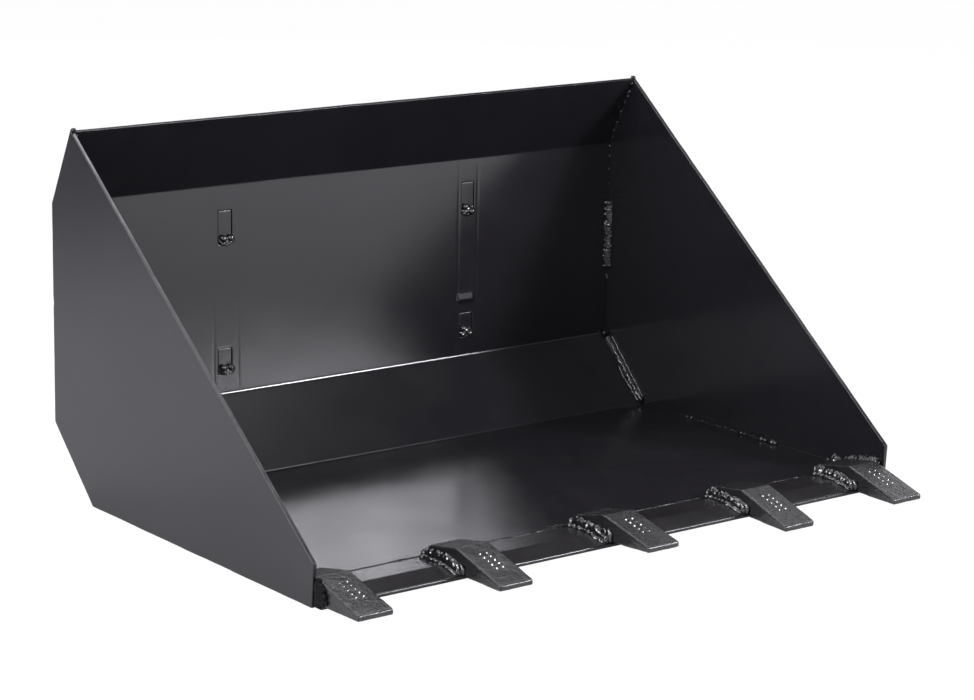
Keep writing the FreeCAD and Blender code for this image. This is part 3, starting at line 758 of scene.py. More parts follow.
class Deposit:
    """Collects weld metal or studs into one mesh.

    Shared look of bead and stringer:
    pitch, ripple: length and height of the scales; wander: unevenness of the width
    lump: extra uneven height; taper: length of the closing ends; sink: depth below the surface
    """

    def __init__(self):
        self.verts, self.faces, self.count = [], [], 0

    def add(self, verts, faces):
        self.verts.append(np.asarray(verts, float))
        self.faces += [[i + self.count for i in face] for face in faces]
        self.count += len(verts)

    def build(self, name, material, node=None):
        hand_over(mesh_object(name, np.concatenate(self.verts), self.faces, material), node)

    def add_rings(self, rings):
        self.add(rings.reshape(-1, 3), capped_tube_faces(*rings.shape[:2]))

    def bead(self, path, side_a, side_b, leg_a, leg_b, seed, bulge=0.22, pitch=3.4, ripple=0.35,
             taper=5.0, sink=0.5, segments=12, wander=0.14, step=None, lump=0.0):
        """Convex fillet weld in the corner along a path, with a leg along each side."""
        s, points, u, v, swell = resample(path, side_a, side_b, step, taper)
        t = np.linspace(0, 1, segments + 1)
        arch = np.sin(math.pi * t)
        wide_a = leg_a * (swell * (1 + wander * fbm(track(s, 7, seed), 1 / 9.0, 2, seed)))
        wide_b = leg_b * (swell * (1 + wander * fbm(track(s, 3, seed), 1 / 9.0, 2, seed + 50)))
        lumps = lump * np.clip(fbm(track(s, 5, seed), 1 / 7.0, 2, seed + 90), -0.4, 1)
        scales = ripple * crescents(s, t, pitch, seed, bow=0.9) * arch ** 0.6 * swell[:, None]
        crown = bulge * (leg_a + leg_b) / 2 * swell[:, None] * arch ** 0.85
        height = crown + scales + lumps[:, None] * arch
        a = wide_a[:, None] * (1 - t) + height * 0.707
        b = wide_b[:, None] * t + height * 0.707
        a[:, 0], b[:, 0] = wide_a, -sink * 0.4
        a[:, -1], b[:, -1] = -sink * 0.4, wide_b
        skin = points[:, None] + u[:, None] * a[..., None] + v[:, None] * b[..., None]
        root = (points - (u + v) * sink)[:, None]
        self.add_rings(np.concatenate([root, skin], axis=1))

    def stringer(self, path, side, up, width, height, seed, pitch=3.2, ripple=0.3, taper=3.0,
                 sink=0.5, segments=12, wander=0.14, lump=0.0):
        """Bead laid on a surface: a half ellipse, width across and height up."""
        s, points, u, v, swell = resample(path, side, up, None, taper)
        t = np.linspace(0, 1, segments + 1)
        arch = np.sin(math.pi * t)
        wide = swell * (1 + wander * fbm(track(s, 1, seed), 1 / 8.0, 2, seed))
        sway = 0.12 * width * noise(track(s, 11, seed), 1 / 14.0, seed + 5)
        lumps = lump * np.clip(fbm(track(s, 5, seed), 1 / 6.0, 2, seed + 90), -0.4, 1)
        scales = ripple * crescents(s, t, pitch, seed, bow=0.7) * arch ** 0.6 * swell[:, None]
        a = -np.cos(math.pi * t) * width / 2 * wide[:, None] + sway[:, None]
        b = arch * (height * swell + lumps)[:, None] + scales
        skin = points[:, None] + u[:, None] * a[..., None] + v[:, None] * b[..., None]
        base = [(points + u * a[:, [k]] - v * sink)[:, None] for k in (-1, 0)]
        self.add_rings(np.concatenate([skin] + base, axis=1))

    def blob(self, centre, sizes, seed, rough=0.10, axes=(XV, YV, ZV), around=18, rings=12):
        """Lumpy ellipsoid with half sizes along three axes."""
        centre = np.asarray(centre, float)
        ax, ay, az = (size * axis for size, axis in zip(sizes, axes))
        verts = []
        for j in range(1, rings):
            a = math.pi * j / rings
            for i in range(around):
                b = 2 * math.pi * i / around
                verts.append(centre + ax * math.sin(a) * math.cos(b)
                             + ay * math.sin(a) * math.sin(b) + az * math.cos(a))
        verts = np.array(verts + [centre + az, centre - az])
        cell = max(sum(sizes) / 3 * 1.1, 0.4)
        swell = 1 + rough * fbm(verts + seed * 13.0, 1 / cell, 2, seed)
        verts = centre + (verts - centre) * swell[:, None]
        faces = tube_faces(rings - 1, around)
        top, bottom, last = len(verts) - 2, len(verts) - 1, (rings - 2) * around
        for i in range(around):
            k = (i + 1) % around
            faces += [(top, k, i), (bottom, last + i, last + k)]
        self.add(verts, faces)

    def spatter(self, centre, axes, spread, count, seed, radii=(0.35, 1.0)):
        """Small drops scattered along the first two axes, the third being up."""
        rng = np.random.RandomState(seed)
        centre = np.asarray(centre, float)
        e1, e2, up = axes
        for k in range(count):
            r = radii[0] + (radii[1] - radii[0]) * rng.rand() ** 2.2
            p = (centre + e1 * rng.normal(0, 0.5) * spread[0]
                 + e2 * rng.normal(0, 0.5) * spread[1])
            if on_metal(p):
                self.blob(p + up * r * 0.25, (r, r, r * 0.75), seed + k, 0.04, axes, 8, 5)


# ------------------------------------------------------------------ cast teeth
def place_tooth(number, points):
    """Tilt points about the rear or front end of the tooth's seat and move them to its x."""
    tilt = TOOTH_TILT[number - 1]
    pivot_y, pivot_z = TOOTH_PROFILE[4 if tilt > 0 else 5]
    a = math.radians(-tilt)
    y, z = points[:, 1] - pivot_y, points[:, 2] - pivot_z
    return np.stack([points[:, 0] + TOOTH_X[number - 1],
                     pivot_y + y * math.cos(a) - z * math.sin(a),
                     pivot_z + y * math.sin(a) + z * math.cos(a)], 1)


def stud_mesh(centre, ax, ay, az, around=24):
    """Low stud with straight sloping sides and a small rounded top."""
    # half width, half length, height
    rings = ((1.0, 1.0, -0.4), (1.0, 1.0, 0.26), (0.92, 0.82, 0.42), (0.84, 0.58, 0.78),
             (0.76, 0.37, 1.08), (0.66, 0.24, 1.20), (0.40, 0.12, 1.25))
    verts = []
    for wide, long, high in rings:
        for i in range(around):
            a = 2 * math.pi * i / around
            x, y = math.cos(a), math.sin(a)
            r = (abs(x) ** 3 + abs(y) ** 3) ** (-1 / 3.0)
            verts.append(centre + ax * wide * r * x + ay * long * r * y + az * high)
    verts += [centre + az * 1.26, centre - az * 0.4]
    faces = tube_faces(len(rings), around)
    top, bottom, last = len(verts) - 2, len(verts) - 1, (len(rings) - 1) * around
    for i in range(around):
        k = (i + 1) % around
        faces += [(last + i, last + k, top), (k, i, bottom)]
    return np.array(verts), faces


def build_tooth(number):
    n = len(TOOTH_PROFILE)
    draft = 0.6
    half = [TOOTH_WIDTH / 2 - (draft if z > 12 else 0) for _, z in TOOTH_PROFILE]
    verts = [(sign * w * MM, y * MM, z * MM)
             for sign in (-1, 1) for w, (y, z) in zip(half, TOOTH_PROFILE)]
    faces = [list(range(n))[::-1], list(range(n, 2 * n))]
    faces += [[i, (i + 1) % n, n + (i + 1) % n, n + i] for i in range(n)]
    mesh = bpy.data.meshes.new("tmp")
    mesh.from_pydata(verts, [], faces)
    tidy(mesh)
    tooth = link_object("tooth_%d_cast" % number, mesh)
    bevel(tooth, "round", 2.5, 4, 25)
    remesh = tooth.modifiers.new("skin", "REMESH")
    remesh.mode = "VOXEL"
    remesh.voxel_size = 0.85 * MM
    remesh.use_smooth_shade = True
    smooth = tooth.modifiers.new("smooth", "SMOOTH")
    smooth.factor = 0.5
    smooth.iterations = 1
    apply_modifiers(tooth)

    # cast unevenness, different on each tooth
    mesh = tooth.data
    points, normals = (np.zeros(len(mesh.vertices) * 3) for _ in range(2))
    mesh.vertices.foreach_get("co", points)
    mesh.vertices.foreach_get("normal", normals)
    points = points.reshape(-1, 3) / MM
    sample = points + np.array([0, 0, number * 400.0])
    shift = (0.30 * fbm(sample, 1 / 26.0, 2, 40 + number)
             + 0.13 * fbm(sample, 1 / 5.0, 2, 60 + number)
             + 0.11 * noise(sample, 1 / 2.6, 80 + number))
    points = points + normals.reshape(-1, 3) * shift[:, None]
    mesh.vertices.foreach_set("co", (place_tooth(number, points) * MM).ravel())
    mesh.materials.clear()
    mesh.materials.append(TOOTH_CAST)
    shade_smooth(mesh)
    mesh.update()
    hand_over(tooth, "tooth_%d" % number)

    # two rows of short studs on the wedge face, measured from the ridge towards the tip
    rng = np.random.RandomState(100 + number)
    studs = Deposit()
    down = in_3d(unit(np.array(TIP) - np.array(RIDGE)))
    out = np.array([0, down[2], -down[1]])
    for along in (24.0, 33.5, 43.0, 52.5, 62.0):
        for x in (-5.8, 5.8):
            jitter = rng.uniform(-0.4, 0.4, 2)
            centre = in_3d(RIDGE, x + jitter[0]) + down * (along + jitter[1]) - out * 0.5
            points, faces = stud_mesh(centre, XV * 3.2 * rng.uniform(0.85, 1.1), down * 2.2,
                                      out * rng.uniform(1.6, 2.0))
            studs.add(place_tooth(number, points), faces)
    studs.build("tooth_%d_raised_studs" % number, STUD_PAINT)


# ------------------------------------------------------------------ welds on the sheet
def build_inside(side, sign):
    """Welds between the sheet and one side plate, seen from inside the bucket."""
    metal = Deposit()
    base = 200 if sign > 0 else 400
    lip_length, incline_length = panel_length(LIP_PANEL), panel_length(INCLINE)
    to_middle = -sign * XV

    def at(panel, along, inset, lift=0.0):
        """Point inset from the plate and lifted off the panel, with the panel's axes."""
        point, run, out = on_sheet(panel, along)
        point[0] = sign * (INNER - inset)
        return point + out * lift, (XV, run, out)

    def corner(panel, start, end, leg, seed, **look):
        out = on_sheet(panel, start)[2]
        metal.bead([at(panel, start, 0)[0], at(panel, end, 0)[0]], to_middle, out, leg, leg,
                   seed=base + seed, **look)

    def drop(panel, along, inset, lift, sizes, seed, rough):
        point, axes = at(panel, along, inset, lift)
        metal.blob(point, sizes, base + seed, rough, axes)

    def panel_spatter(panel, along, inset, spread, count, seed):
        metal.spatter(*at(panel, along, inset), spread, count, base + seed)

    def plate_spatter(panel, along, forward, rise, spread, count, seed):
        _, y, z = on_sheet(panel, along)[0]
        metal.spatter([sign * INNER, y - forward, z + rise], (YV, ZV, to_middle), spread, count,
                      base + seed)

    # lip corner: thin, broken and lumpy
    corner(LIP_PANEL, 20, lip_length - 6, 2.6, seed=1, ripple=0.25, pitch=7.5, lump=0.9,
           wander=0.45, bulge=0.06)
    for k, (along, r) in enumerate(((26, 3.0), (44, 2.6), (63, 3.2), (84, 2.6), (100, 3.0))):
        drop(LIP_PANEL, along, 1.6, 0.8, (r, r * 1.2, r * 0.6), 600 + k, 0.16)
    drop(LIP_PANEL, 8.0, 2.2, 0.9, (3.4, 3.8, 2.6), 2, 0.10)
    for k, along in enumerate((6, 22, 45, 70)):
        drop(BACK, along, 1.2, 0.5, (2.4, 3.4, 1.8), 620 + k, 0.16)

    # upright bead in the back corner, then a smaller one below it
    corner(BACK, 95.0, 214.0, 10.6, seed=4, ripple=0.40, pitch=5.2, bulge=0.10, wander=0.13,
           taper=6, lump=0.5)
    corner(BACK, 221.0, 234.0, 4.5, seed=5, ripple=0.4, pitch=4.0, lump=0.8)

    # incline: a broad pass, one beside it on the plate, one on the sheet, a knob at the bend
    corner(INCLINE, 7.0, incline_length - 2.0, 8.6, seed=7, ripple=0.34, pitch=7.5, bulge=0.30,
           wander=0.16, taper=6, lump=1.1)
    out = on_sheet(INCLINE, 0)[2]
    metal.stringer([at(INCLINE, 14.0, 0.4, 11.2)[0], at(INCLINE, incline_length - 8.0, 0.4, 8.4)[0]],
                   out, to_middle, 6.6, 3.0, seed=base + 8, pitch=7.0, ripple=0.3, wander=0.22,
                   lump=0.8)
    metal.stringer([at(INCLINE, incline_length * 0.45, 8.6)[0],
                    at(INCLINE, incline_length - 6.0, 8.0)[0]],
                   XV, out, 7.0, 2.8, seed=base + 9, pitch=6.4, ripple=0.35, wander=0.25, lump=1.0)
    drop(INCLINE, 3.0, 4.4, 3.8, (6.0, 5.4, 5.0), 10, 0.08)

    # floor: a thin smooth joint, thickened along part of it, with drops over the thick part
    corner(FLOOR, 3.0, 442.0, 2.9, seed=11, ripple=0.04, pitch=9, bulge=0.24, wander=0.10,
           segments=8)
    corner(FLOOR, 112.0, 322.0, 4.2, seed=12, ripple=0.35, pitch=6.4, bulge=0.14, wander=0.30,
           lump=1.0)
    metal.stringer([at(FLOOR, 130.0, 0.3, 8.0)[0], at(FLOOR, 300.0, 0.3, 9.0)[0]],
                   on_sheet(FLOOR, 0)[2], to_middle, 3.0, 0.8, seed=base + 14, pitch=8,
                   ripple=0.1, wander=0.4, lump=0.6)
    drops = ((113.0, 4.2), (150.0, 2.8), (186.0, 3.0), (222.0, 2.8), (243.0, 4.0),
             (251.0, 3.2), (291.0, 6.6), (299.0, 5.0), (316.0, 7.4), (322.0, 5.2))
    for k, (along, r) in enumerate(drops):
        drop(FLOOR, along, 3.2, 2.2, (r, r * 1.15, r * 0.75), 20 + k, 0.08)
    drop(FLOOR, 319.0, 10.0, 0.4, (8.0, 2.2, 1.6), 32, 0.1)

    panel_spatter(FLOOR, 300.0, 16.0, (26, 90), 26, 40)
    plate_spatter(INCLINE, incline_length / 2, 22, 22, (50, 40), 22, 70)
    panel_spatter(INCLINE, incline_length / 2, 20.0, (26, 60), 16, 100)
    panel_spatter(BACK, 160.0, 16.0, (20, 90), 18, 130)
    plate_spatter(BACK, 160.0, 18, 0, (24, 90), 20, 160)
    panel_spatter(LIP_PANEL, 50.0, 14.0, (18, 50), 14, 190)
    metal.build("weld_beads_inside_" + side, WELD_PAINT, "weld_inside_" + side)


def build_outside(side, sign):
    """Beads along the outer joint of the lip, back and incline with one side plate."""
    metal = Deposit()
    base = 600 if sign > 0 else 700
    # panel, gap left at its start, gap left at its end
    for panel, start_gap, end_gap in ((LIP_PANEL, 7.0, 6.0), (BACK, 6.0, 6.0), (INCLINE, 6.0, 8.0)):
        a, b = SHEET_OUTER[panel], SHEET_OUTER[panel + 1]
        run = unit(b - a)
        x = sign * (INNER + 0.6)
        metal.stringer([in_3d(a + run * start_gap, x), in_3d(b - run * end_gap, x)], XV * sign,
                       in_3d(-inward(a, b)), 8.6, 1.0, seed=base + panel, pitch=3.6, ripple=0.28,
                       wander=0.10)
    # lumps at the lip corner and at the foot of the incline
    y, z = SHEET_OUTER[0]
    metal.blob([sign * (INNER + 1.5), y - 1.0, z + 0.5], (4.6, 4.2, 3.0), base + 9)
    y, z = SHEET_OUTER[3]
    metal.blob([sign * (INNER - 1.5), y + 2.0, z + 3.0], (4.0, 4.0, 2.6), base + 11)
    metal.build("weld_beads_outside_" + side, WELD_PAINT, "weld_outside_" + side)


def build_floor_stitches():
    """Three short welds under each side of the floor."""
    metal = Deposit()
    (rear_y, rear_z), (front_y, front_z) = SHEET_OUTER[3:]
    slope = (rear_z - front_z) / (rear_y - front_y)
    seed = 800
    for sign in (-1.0, 1.0):
        for span in ((110.0, 170.0), (230.0, 290.0), (350.0, 410.0)):
            a, b = (np.array([sign * INNER, y, front_z + (y - front_y) * slope]) for y in span)
            run = unit(b - a)
            metal.bead([a, b], -sign * XV, np.array([0, run[2], -run[1]]), 5.0, 1.7, seed=seed,
                       bulge=0.08, ripple=0.2, wander=0.08)
            seed += 1
    metal.build("weld_stitches_under_floor", WELD_PAINT, "weld_under_floor")


def build_edge_underside():
    metal = Deposit()
    metal.bead([[-INNER + 12, SEAM_Y, 8.0], [INNER - 12, SEAM_Y, 8.0]], YV, -ZV, 5.0, 5.0,
               seed=820, bulge=0.12, ripple=0.4, pitch=3.8, wander=0.10, step=1.2)
    metal.build("weld_bead_edge_underside", WELD_PAINT, "weld_edge_underside")


# lumps on the seam: x, y, radius
SEAM_LUMPS = (
    (-55.0, 73.5, 6.4), (-46.0, 71.0, 6.0), (-68.0, 75.0, 4.6), (-80.0, 72.0, 3.2),
    (-36.0, 72.0, 5.0), (52.0, 71.0, 2.6), (118.0, 70.6, 2.0), (398.0, 71.0, 2.6),
    (416.0, 71.5, 3.2), (431.0, 72.0, 3.6), (-346.0, 70.6, 2.6), (-337.0, 70.8, 3.6),
    (-329.0, 70.8, 3.0), (-160.0, 70.5, 2.0), (196.0, 71.0, 2.2), (350.0, 71.0, 2.0))


def build_seam():
    """Seam on top, between the floor sheet and the bar, laid from tooth to tooth."""
    metal = Deposit()
    for i, (left, right) in enumerate(zip(TOOTH_X, TOOTH_X[1:])):
        xa = left + TOOTH_WIDTH / 2 + 2.0
        xb = right - TOOTH_WIDTH / 2 - 2.0
        x = np.linspace(xa, xb, int((xb - xa) / 6.0))
        y = SEAM_Y + 0.35 * noise(track(x, 0, 0), 1 / 30.0, 850 + i)
        metal.stringer(np.stack([x, y, np.full(len(x), 12.15)], 1), YV, ZV, 4.2, 1.55,
                       seed=860 + i, pitch=11.0, ripple=0.10, wander=0.18, lump=0.4, sink=1.2,
                       segments=10)
    for x, y, r in SEAM_LUMPS:
        metal.blob([x, y, 12.4], (r * 1.3, r * 0.8, r * 0.62), int(x) + 900, 0.12)
    metal.spatter([0, 95.0, 12.9], (XV, YV, ZV), (700, 40), 46, 871, (0.3, 0.8))
    metal.build("weld_seam_floor_to_edge", SEAM_PAINT, "weld_edge_seam")


# ------------------------------------------------------------------ welds at the teeth
# direction forward and down the bevel of the bar, and its normal
BEVEL = unit(np.array([0, EDGE_FRONT - BEVEL_Y, LAND - EDGE_THICK]))
BEVEL_UP = np.array([0, BEVEL[2], -BEVEL[1]])

# lumps in front of a side plate: y, z, radius
FRONT_LUMPS = ((-8.0, 7.0, 6.4), (-17.0, 11.0, 6.6), (-7.0, 17.0, 5.6), (-20.0, 20.0, 6.2),
               (-9.0, 26.0, 6.4), (-16.5, 29.0, 5.6), (-6.0, 35.0, 5.6), (-10.0, 40.0, 4.2),
               (-24.0, 13.0, 4.4))


def weld_tooth_to_plate(metal, masses, sign, seed):
    """Heavy build up in front of the plate, and a small bead between plate and tooth."""
    x = sign * INNER
    masses.bead([[x, -1.0, 1.2], [x, -1.6, 20.0], [x, -2.0, 41.0]], XV * sign, -YV, 5.6, 20.0,
                seed=seed, ripple=0.7, pitch=8.0, bulge=0.16, wander=0.25, lump=1.8, taper=10,
                sink=0.4)
    for k, (y, z, r) in enumerate(FRONT_LUMPS):
        masses.blob([sign * (INNER + 0.6), y, z], (r * 0.62, r, r * 0.9), seed + k, 0.16)
    metal.bead([[x, 66.0, 12.7], [x, 30.0, 12.7]], -XV * sign, ZV, 1.2, 4.0, seed=seed + 8,
               ripple=0.3, sink=0.3)


def weld_tooth_to_bar(metal, face, sign, seed, wide, lift):
    """Fillet along one side of a tooth, over the bar's top and down its bevel."""
    leg = 9.0 if wide else 7.0
    bend = np.array([face, BEVEL_Y, EDGE_THICK])
    start = np.array([face, SEAM_Y - 0.5, EDGE_THICK - 0.1])
    end = bend + BEVEL * 36.0
    path = [start, np.array([face, BEVEL_Y + 4.0, EDGE_THICK - 0.1]),
            np.array([face, BEVEL_Y - 4.0, EDGE_THICK - 0.9]), end]
    ups = np.array([ZV, ZV, BEVEL_UP, BEVEL_UP])
    metal.bead(path, XV * sign, ups, leg, 14.5, seed=seed, ripple=0.45, pitch=9.0, bulge=0.22,
               wander=0.18, lump=0.9, taper=6)
    if wide:
        beside = [p + XV * sign * (leg - 0.2) for p in path]
        beside[0] = beside[0] - YV * 6
        beside[3] = beside[3] - BEVEL * 4
        metal.stringer(beside, XV, ups, 8.6, 3.8, seed=seed + 1, pitch=8.5, ripple=0.85,
                       wander=0.28, lump=1.3, taper=6)
    # lumps where the passes start and stop
    metal.blob(start + XV * sign * 4.2 + ZV * 4.4 - YV * 1.5, (6.0, 5.0, 7.0), seed + 3, 0.16)
    metal.blob(start + XV * sign * 11.0 + ZV * 1.6 - YV * 6.0, (5.0, 5.0, 3.4), seed + 4, 0.16)
    metal.blob([face + sign * 0.8, -8.5, 12.6 + lift * 0.6],
               (4.2, 8.6, 8.2 + abs(lift) * 0.6), seed + 2, 0.12)
    metal.blob([face + sign * 2.4, -1.5, 15.0 + lift], (4.0, 7.0, 6.4), seed + 15, 0.14)
    if lift > 0:
        metal.blob([face + sign * 0.6, -10.5, 19.0], (3.4, 7.0, 5.4), seed + 16, 0.12)
    metal.blob(end + XV * sign * 7.2 + BEVEL_UP * 0.6 - BEVEL * 6.0, (4.6, 4.8, 3.0),
               seed + 12, 0.14, (XV, BEVEL, BEVEL_UP))
    metal.spatter([face + sign * 26, 46.0, EDGE_THICK], (XV, YV, ZV), (24, 30), 12, seed + 300,
                  (0.3, 0.9))
    metal.spatter(bend + XV * sign * 24 + BEVEL * 16, (XV, BEVEL, BEVEL_UP), (22, 22), 8,
                  seed + 330, (0.3, 0.8))


def fill_right_gap(metal):
    """Heavy weld metal heaped into the gap between tooth 5 and the right side plate."""
    metal.bead([[INNER, 150.0, 5.5], [INNER, 108.0, 6.0]], -XV, ZV, 5.0, 6.0, seed=1190,
               ripple=0.5, pitch=7.0, bulge=0.2, wander=0.3, lump=1.2)
    metal.bead([[INNER, 114.0, 7.0], [INNER, 90.0, 10.0], [INNER, 66.0, 14.0]], -XV, ZV,
               11.0, 15.0, seed=1191, ripple=0.7, pitch=7.5, bulge=0.22, wander=0.3, lump=1.8,
               taper=12)
    metal.bead([[INNER, 82.0, 17.0], [INNER, 66.0, 21.5], [INNER, 4.0, 33.0]], -XV, ZV,
               13.0, 11.5, seed=1192, ripple=0.6, pitch=7.0, bulge=0.12, wander=0.22, lump=1.6,
               taper=10)
    metal.bead([[TOOTH_X[4] - TOOTH_WIDTH / 2 - 5, 69.5, EDGE_THICK],
                [INNER - 6, 70.0, EDGE_THICK]], YV, ZV, 8.0, 12.0, seed=1193, ripple=0.7,
               pitch=7.0, bulge=0.2, wander=0.3, lump=1.5)
    metal.blob([INNER - 7, 80.0, 17.0], (7, 7, 6), 1194, 0.16)


def build_tooth_weld(number, masses):
    metal = Deposit()
    for sign in (-1.0, 1.0):
        seed = 1000 + number * 20 + (5 if sign > 0 else 0)
        face = TOOTH_X[number - 1] + sign * (TOOTH_WIDTH / 2 - 0.5)
        room = INNER - abs(face)
        if room < 2.0 or (number == 1 and sign < 0):
            weld_tooth_to_plate(metal, masses, sign, seed)
        else:
            weld_tooth_to_bar(metal, face, sign, seed, room > 14.0, TOOTH_WELD_LIFT[number - 1])
    if number == 5:
        fill_right_gap(metal)
    metal.build("weld_beads_tooth_%d" % number, BRIGHT_WELD, "weld_tooth_%d" % number)


# ------------------------------------------------------------------ welds at the hitch frame
# weld round the foot of each rib tab: x shift of the weld, then the radius
# and extra height of its left and right drops
PLUGS = {"left": (2.4, (6.0, 0.0), (5.8, 0.0)), "right": (0.6, (5.4, 4.0), (5.8, -5.0))}


def build_plugs(side):
    """Low ring of weld with two heavy drops over it, at both slots of one rib."""
    metal = Deposit()
    up, out = BACK_UP, -BACK_REAR
    axes = (XV, up, out)
    shift, (left_r, left_rise), (right_r, right_rise) = PLUGS[side]
    for z in (345.5, 143.8):
        foot = np.array([RIB_X[side], back_y(z) - SHEET_THICK, z])
        centre = foot + XV * shift
        seed = int(z) + (0 if side == "left" else 60)
        angles = [math.radians(a) for a in np.linspace(178, 362, 17)]
        ring = [centre + XV * 11.6 * math.cos(a) + up * (8.8 * math.sin(a) + 4.0) for a in angles]
        spokes = [XV * math.cos(a) + up * math.sin(a) for a in angles]
        metal.stringer(ring, spokes, out, 7.4, 1.9, seed=seed, pitch=6.4, ripple=0.35,
                       wander=0.2, lump=0.7, taper=4, sink=1.0)
        metal.blob(centre - XV * 6.8 + up * (4.0 + left_rise) + out * 2.0,
                   (left_r, left_r, 4.8), seed + 1, 0.05, axes)
        metal.blob(centre + XV * 6.4 + up * (4.2 + right_rise) + out * 2.0,
                   (right_r, right_r, 4.8), seed + 2, 0.05, axes)
        metal.blob(centre + up * 0.5 + out * 0.4, (9.5, 6.5, 2.2), seed + 3, 0.10, axes)
        if side == "right":
            metal.blob(foot + XV * 7.0 + up * 6.5 + out * 0.8, (3.4, 3.2, 2.8), seed + 4, 0.06,
                       axes)
        metal.spatter(foot + up * 2, axes, (36, 34), 9, seed + 500, (0.3, 0.7))
    metal.build("weld_plug_pair_" + side, BRIGHT_WELD, "weld_plugs_" + side)


def build_rib_welds(side):
    """Fillets between the back and both faces of one rib, shorter on the inner face."""
    metal = Deposit()
    rib = RIB_X[side]
    outer_sign = -1.0 if side == "left" else 1.0
    for sign in (-1.0, 1.0):
        span = (116.0, 420.0) if sign == outer_sign else (152.0, 388.0)
        face = rib + sign * RIB_THICK / 2
        metal.bead([[face, back_y(z), z] for z in span], XV * sign, BACK_REAR, 7.6, 7.6,
                   seed=1300 + int(rib) + int(10 * sign), ripple=0.5, pitch=4.2, bulge=0.18,
                   wander=0.1, lump=0.4)
    metal.build("weld_beads_rib_" + side, WELD_PAINT, "weld_rib_" + side)


def build_ledge_welds():
    metal = Deposit()
    xa = RIB_X["left"] + RIB_THICK / 2 + 9.5
    xb = RIB_X["right"] - RIB_THICK / 2 - 9.5
    for z, direction, seed in ((LEDGE_Z[1], 1.0, 1400), (LEDGE_Z[0], -1.0, 1420)):
        metal.bead([[xa, back_y(z), z], [xb, back_y(z), z]], BACK_REAR, BACK_UP * direction,
                   7.0, 7.0, seed=seed, ripple=0.45, pitch=4.2, bulge=0.18, wander=0.1, lump=0.3,
                   step=1.1)
    metal.build("weld_beads_latch_ledge", WELD_PAINT, "weld_latch_ledge")


# ------------------------------------------------------------------ hitch frame
def build_ribs():
    tab = SHEET_THICK - 0.8     # how far the tabs reach into the slots
    # z, reach into the back
    front = ((112, 0), (138, 0), (138, tab), (178.2, tab), (178.2, 0),
             (341, 0), (341, tab), (392.6, tab), (392.6, 0), (424, 0))
    profile = [(back_y(z) - reach, z) for z, reach in front]
    profile += [(back_y(424) + 20, 424), (726, 382), (726, 156), (692, 112)]
    for side, seed in (("left", 31), ("right", 37)):
        outline_plate("hitch_rib_%s_cut" % side, "hitch_rib_" + side, profile,
                      RIB_X[side] - RIB_THICK / 2, RIB_X[side] + RIB_THICK / 2, HITCH_PAINT,
                      arris=1.7, segments=4, step=9.0, wander=0.15, seed=seed)


def build_cross_members():
    xa = RIB_X["left"] + RIB_THICK / 2 + 0.1
    xb = RIB_X["right"] - RIB_THICK / 2 - 0.1
    y = back_y(424) + 0.3
    outline_plate("hitch_top_bar_flat", "hitch_top_bar",
                  [(y, 418), (y, 400), (715, 355), (724, 364)], xa, xb, HITCH_PAINT,
                  arris=1.2)

    # ledge plate with the two round latch holes cut through it
    z0, z1 = LEDGE_Z
    y0, y1 = back_y(134.0) + 0.1, back_y(z0) + 60.0
    ledge = outline_plate("hitch_latch_ledge_plate", "hitch_latch_ledge",
                          [(y0, z0), (y1, z0), (y1, z1), (y0, z1)], xa, xb, HITCH_PAINT,
                          arris=0)
    middle = (RIB_X["left"] + RIB_X["right"]) / 2
    for x in (middle - LATCH_SPACING, middle + LATCH_SPACING):
        place = Matrix.Translation((x * MM, LATCH_Y * MM, (z0 + z1) / 2 * MM))
        bm = bmesh.new()
        bmesh.ops.create_cone(bm, cap_ends=True, segments=64, radius1=LATCH_RADIUS * MM,
                              radius2=LATCH_RADIUS * MM, depth=40 * MM, matrix=place)
        pin = bpy.data.meshes.new("pin")
        bm.to_mesh(pin)
        bm.free()
        cutter = link_object("pin_cutter", pin)
        hole = ledge.modifiers.new("hole", "BOOLEAN")
        hole.operation = "DIFFERENCE"
        hole.solver = "EXACT"
        hole.object = cutter
        apply_modifiers(ledge)
        bpy.data.objects.remove(cutter)
    shade_smooth(ledge.data)
    soften(ledge, 0.9, 3, angle=40)


# ------------------------------------------------------------------ camera
def build_camera():
    azimuth, drop, roll = (math.radians(a) for a in (38.4456, 13.6138, 1.4497))
    forward = Vector((math.sin(azimuth) * math.cos(drop), math.cos(azimuth) * math.cos(drop),
                      -math.sin(drop)))
    level = Vector((math.cos(azimuth), -math.sin(azimuth), 0.0))
    upright = level.cross(forward)
    right = level * math.cos(roll) + upright * math.sin(roll)
    up = upright * math.cos(roll) - level * math.sin(roll)
    lens = bpy.data.cameras.new("camera")
    camera = link_object("camera", lens)
    turn = Matrix((right, up, -forward)).transposed().to_4x4()
    camera.matrix_world = Matrix.Translation((-2.6768, -3.0570, 1.2583)) @ turn
    lens.lens = 110.13
    lens.sensor_width = 36.0
    lens.sensor_fit = "HORIZONTAL"
    lens.clip_start, lens.clip_end = 0.05, 60.0
    bpy.context.scene.camera = camera


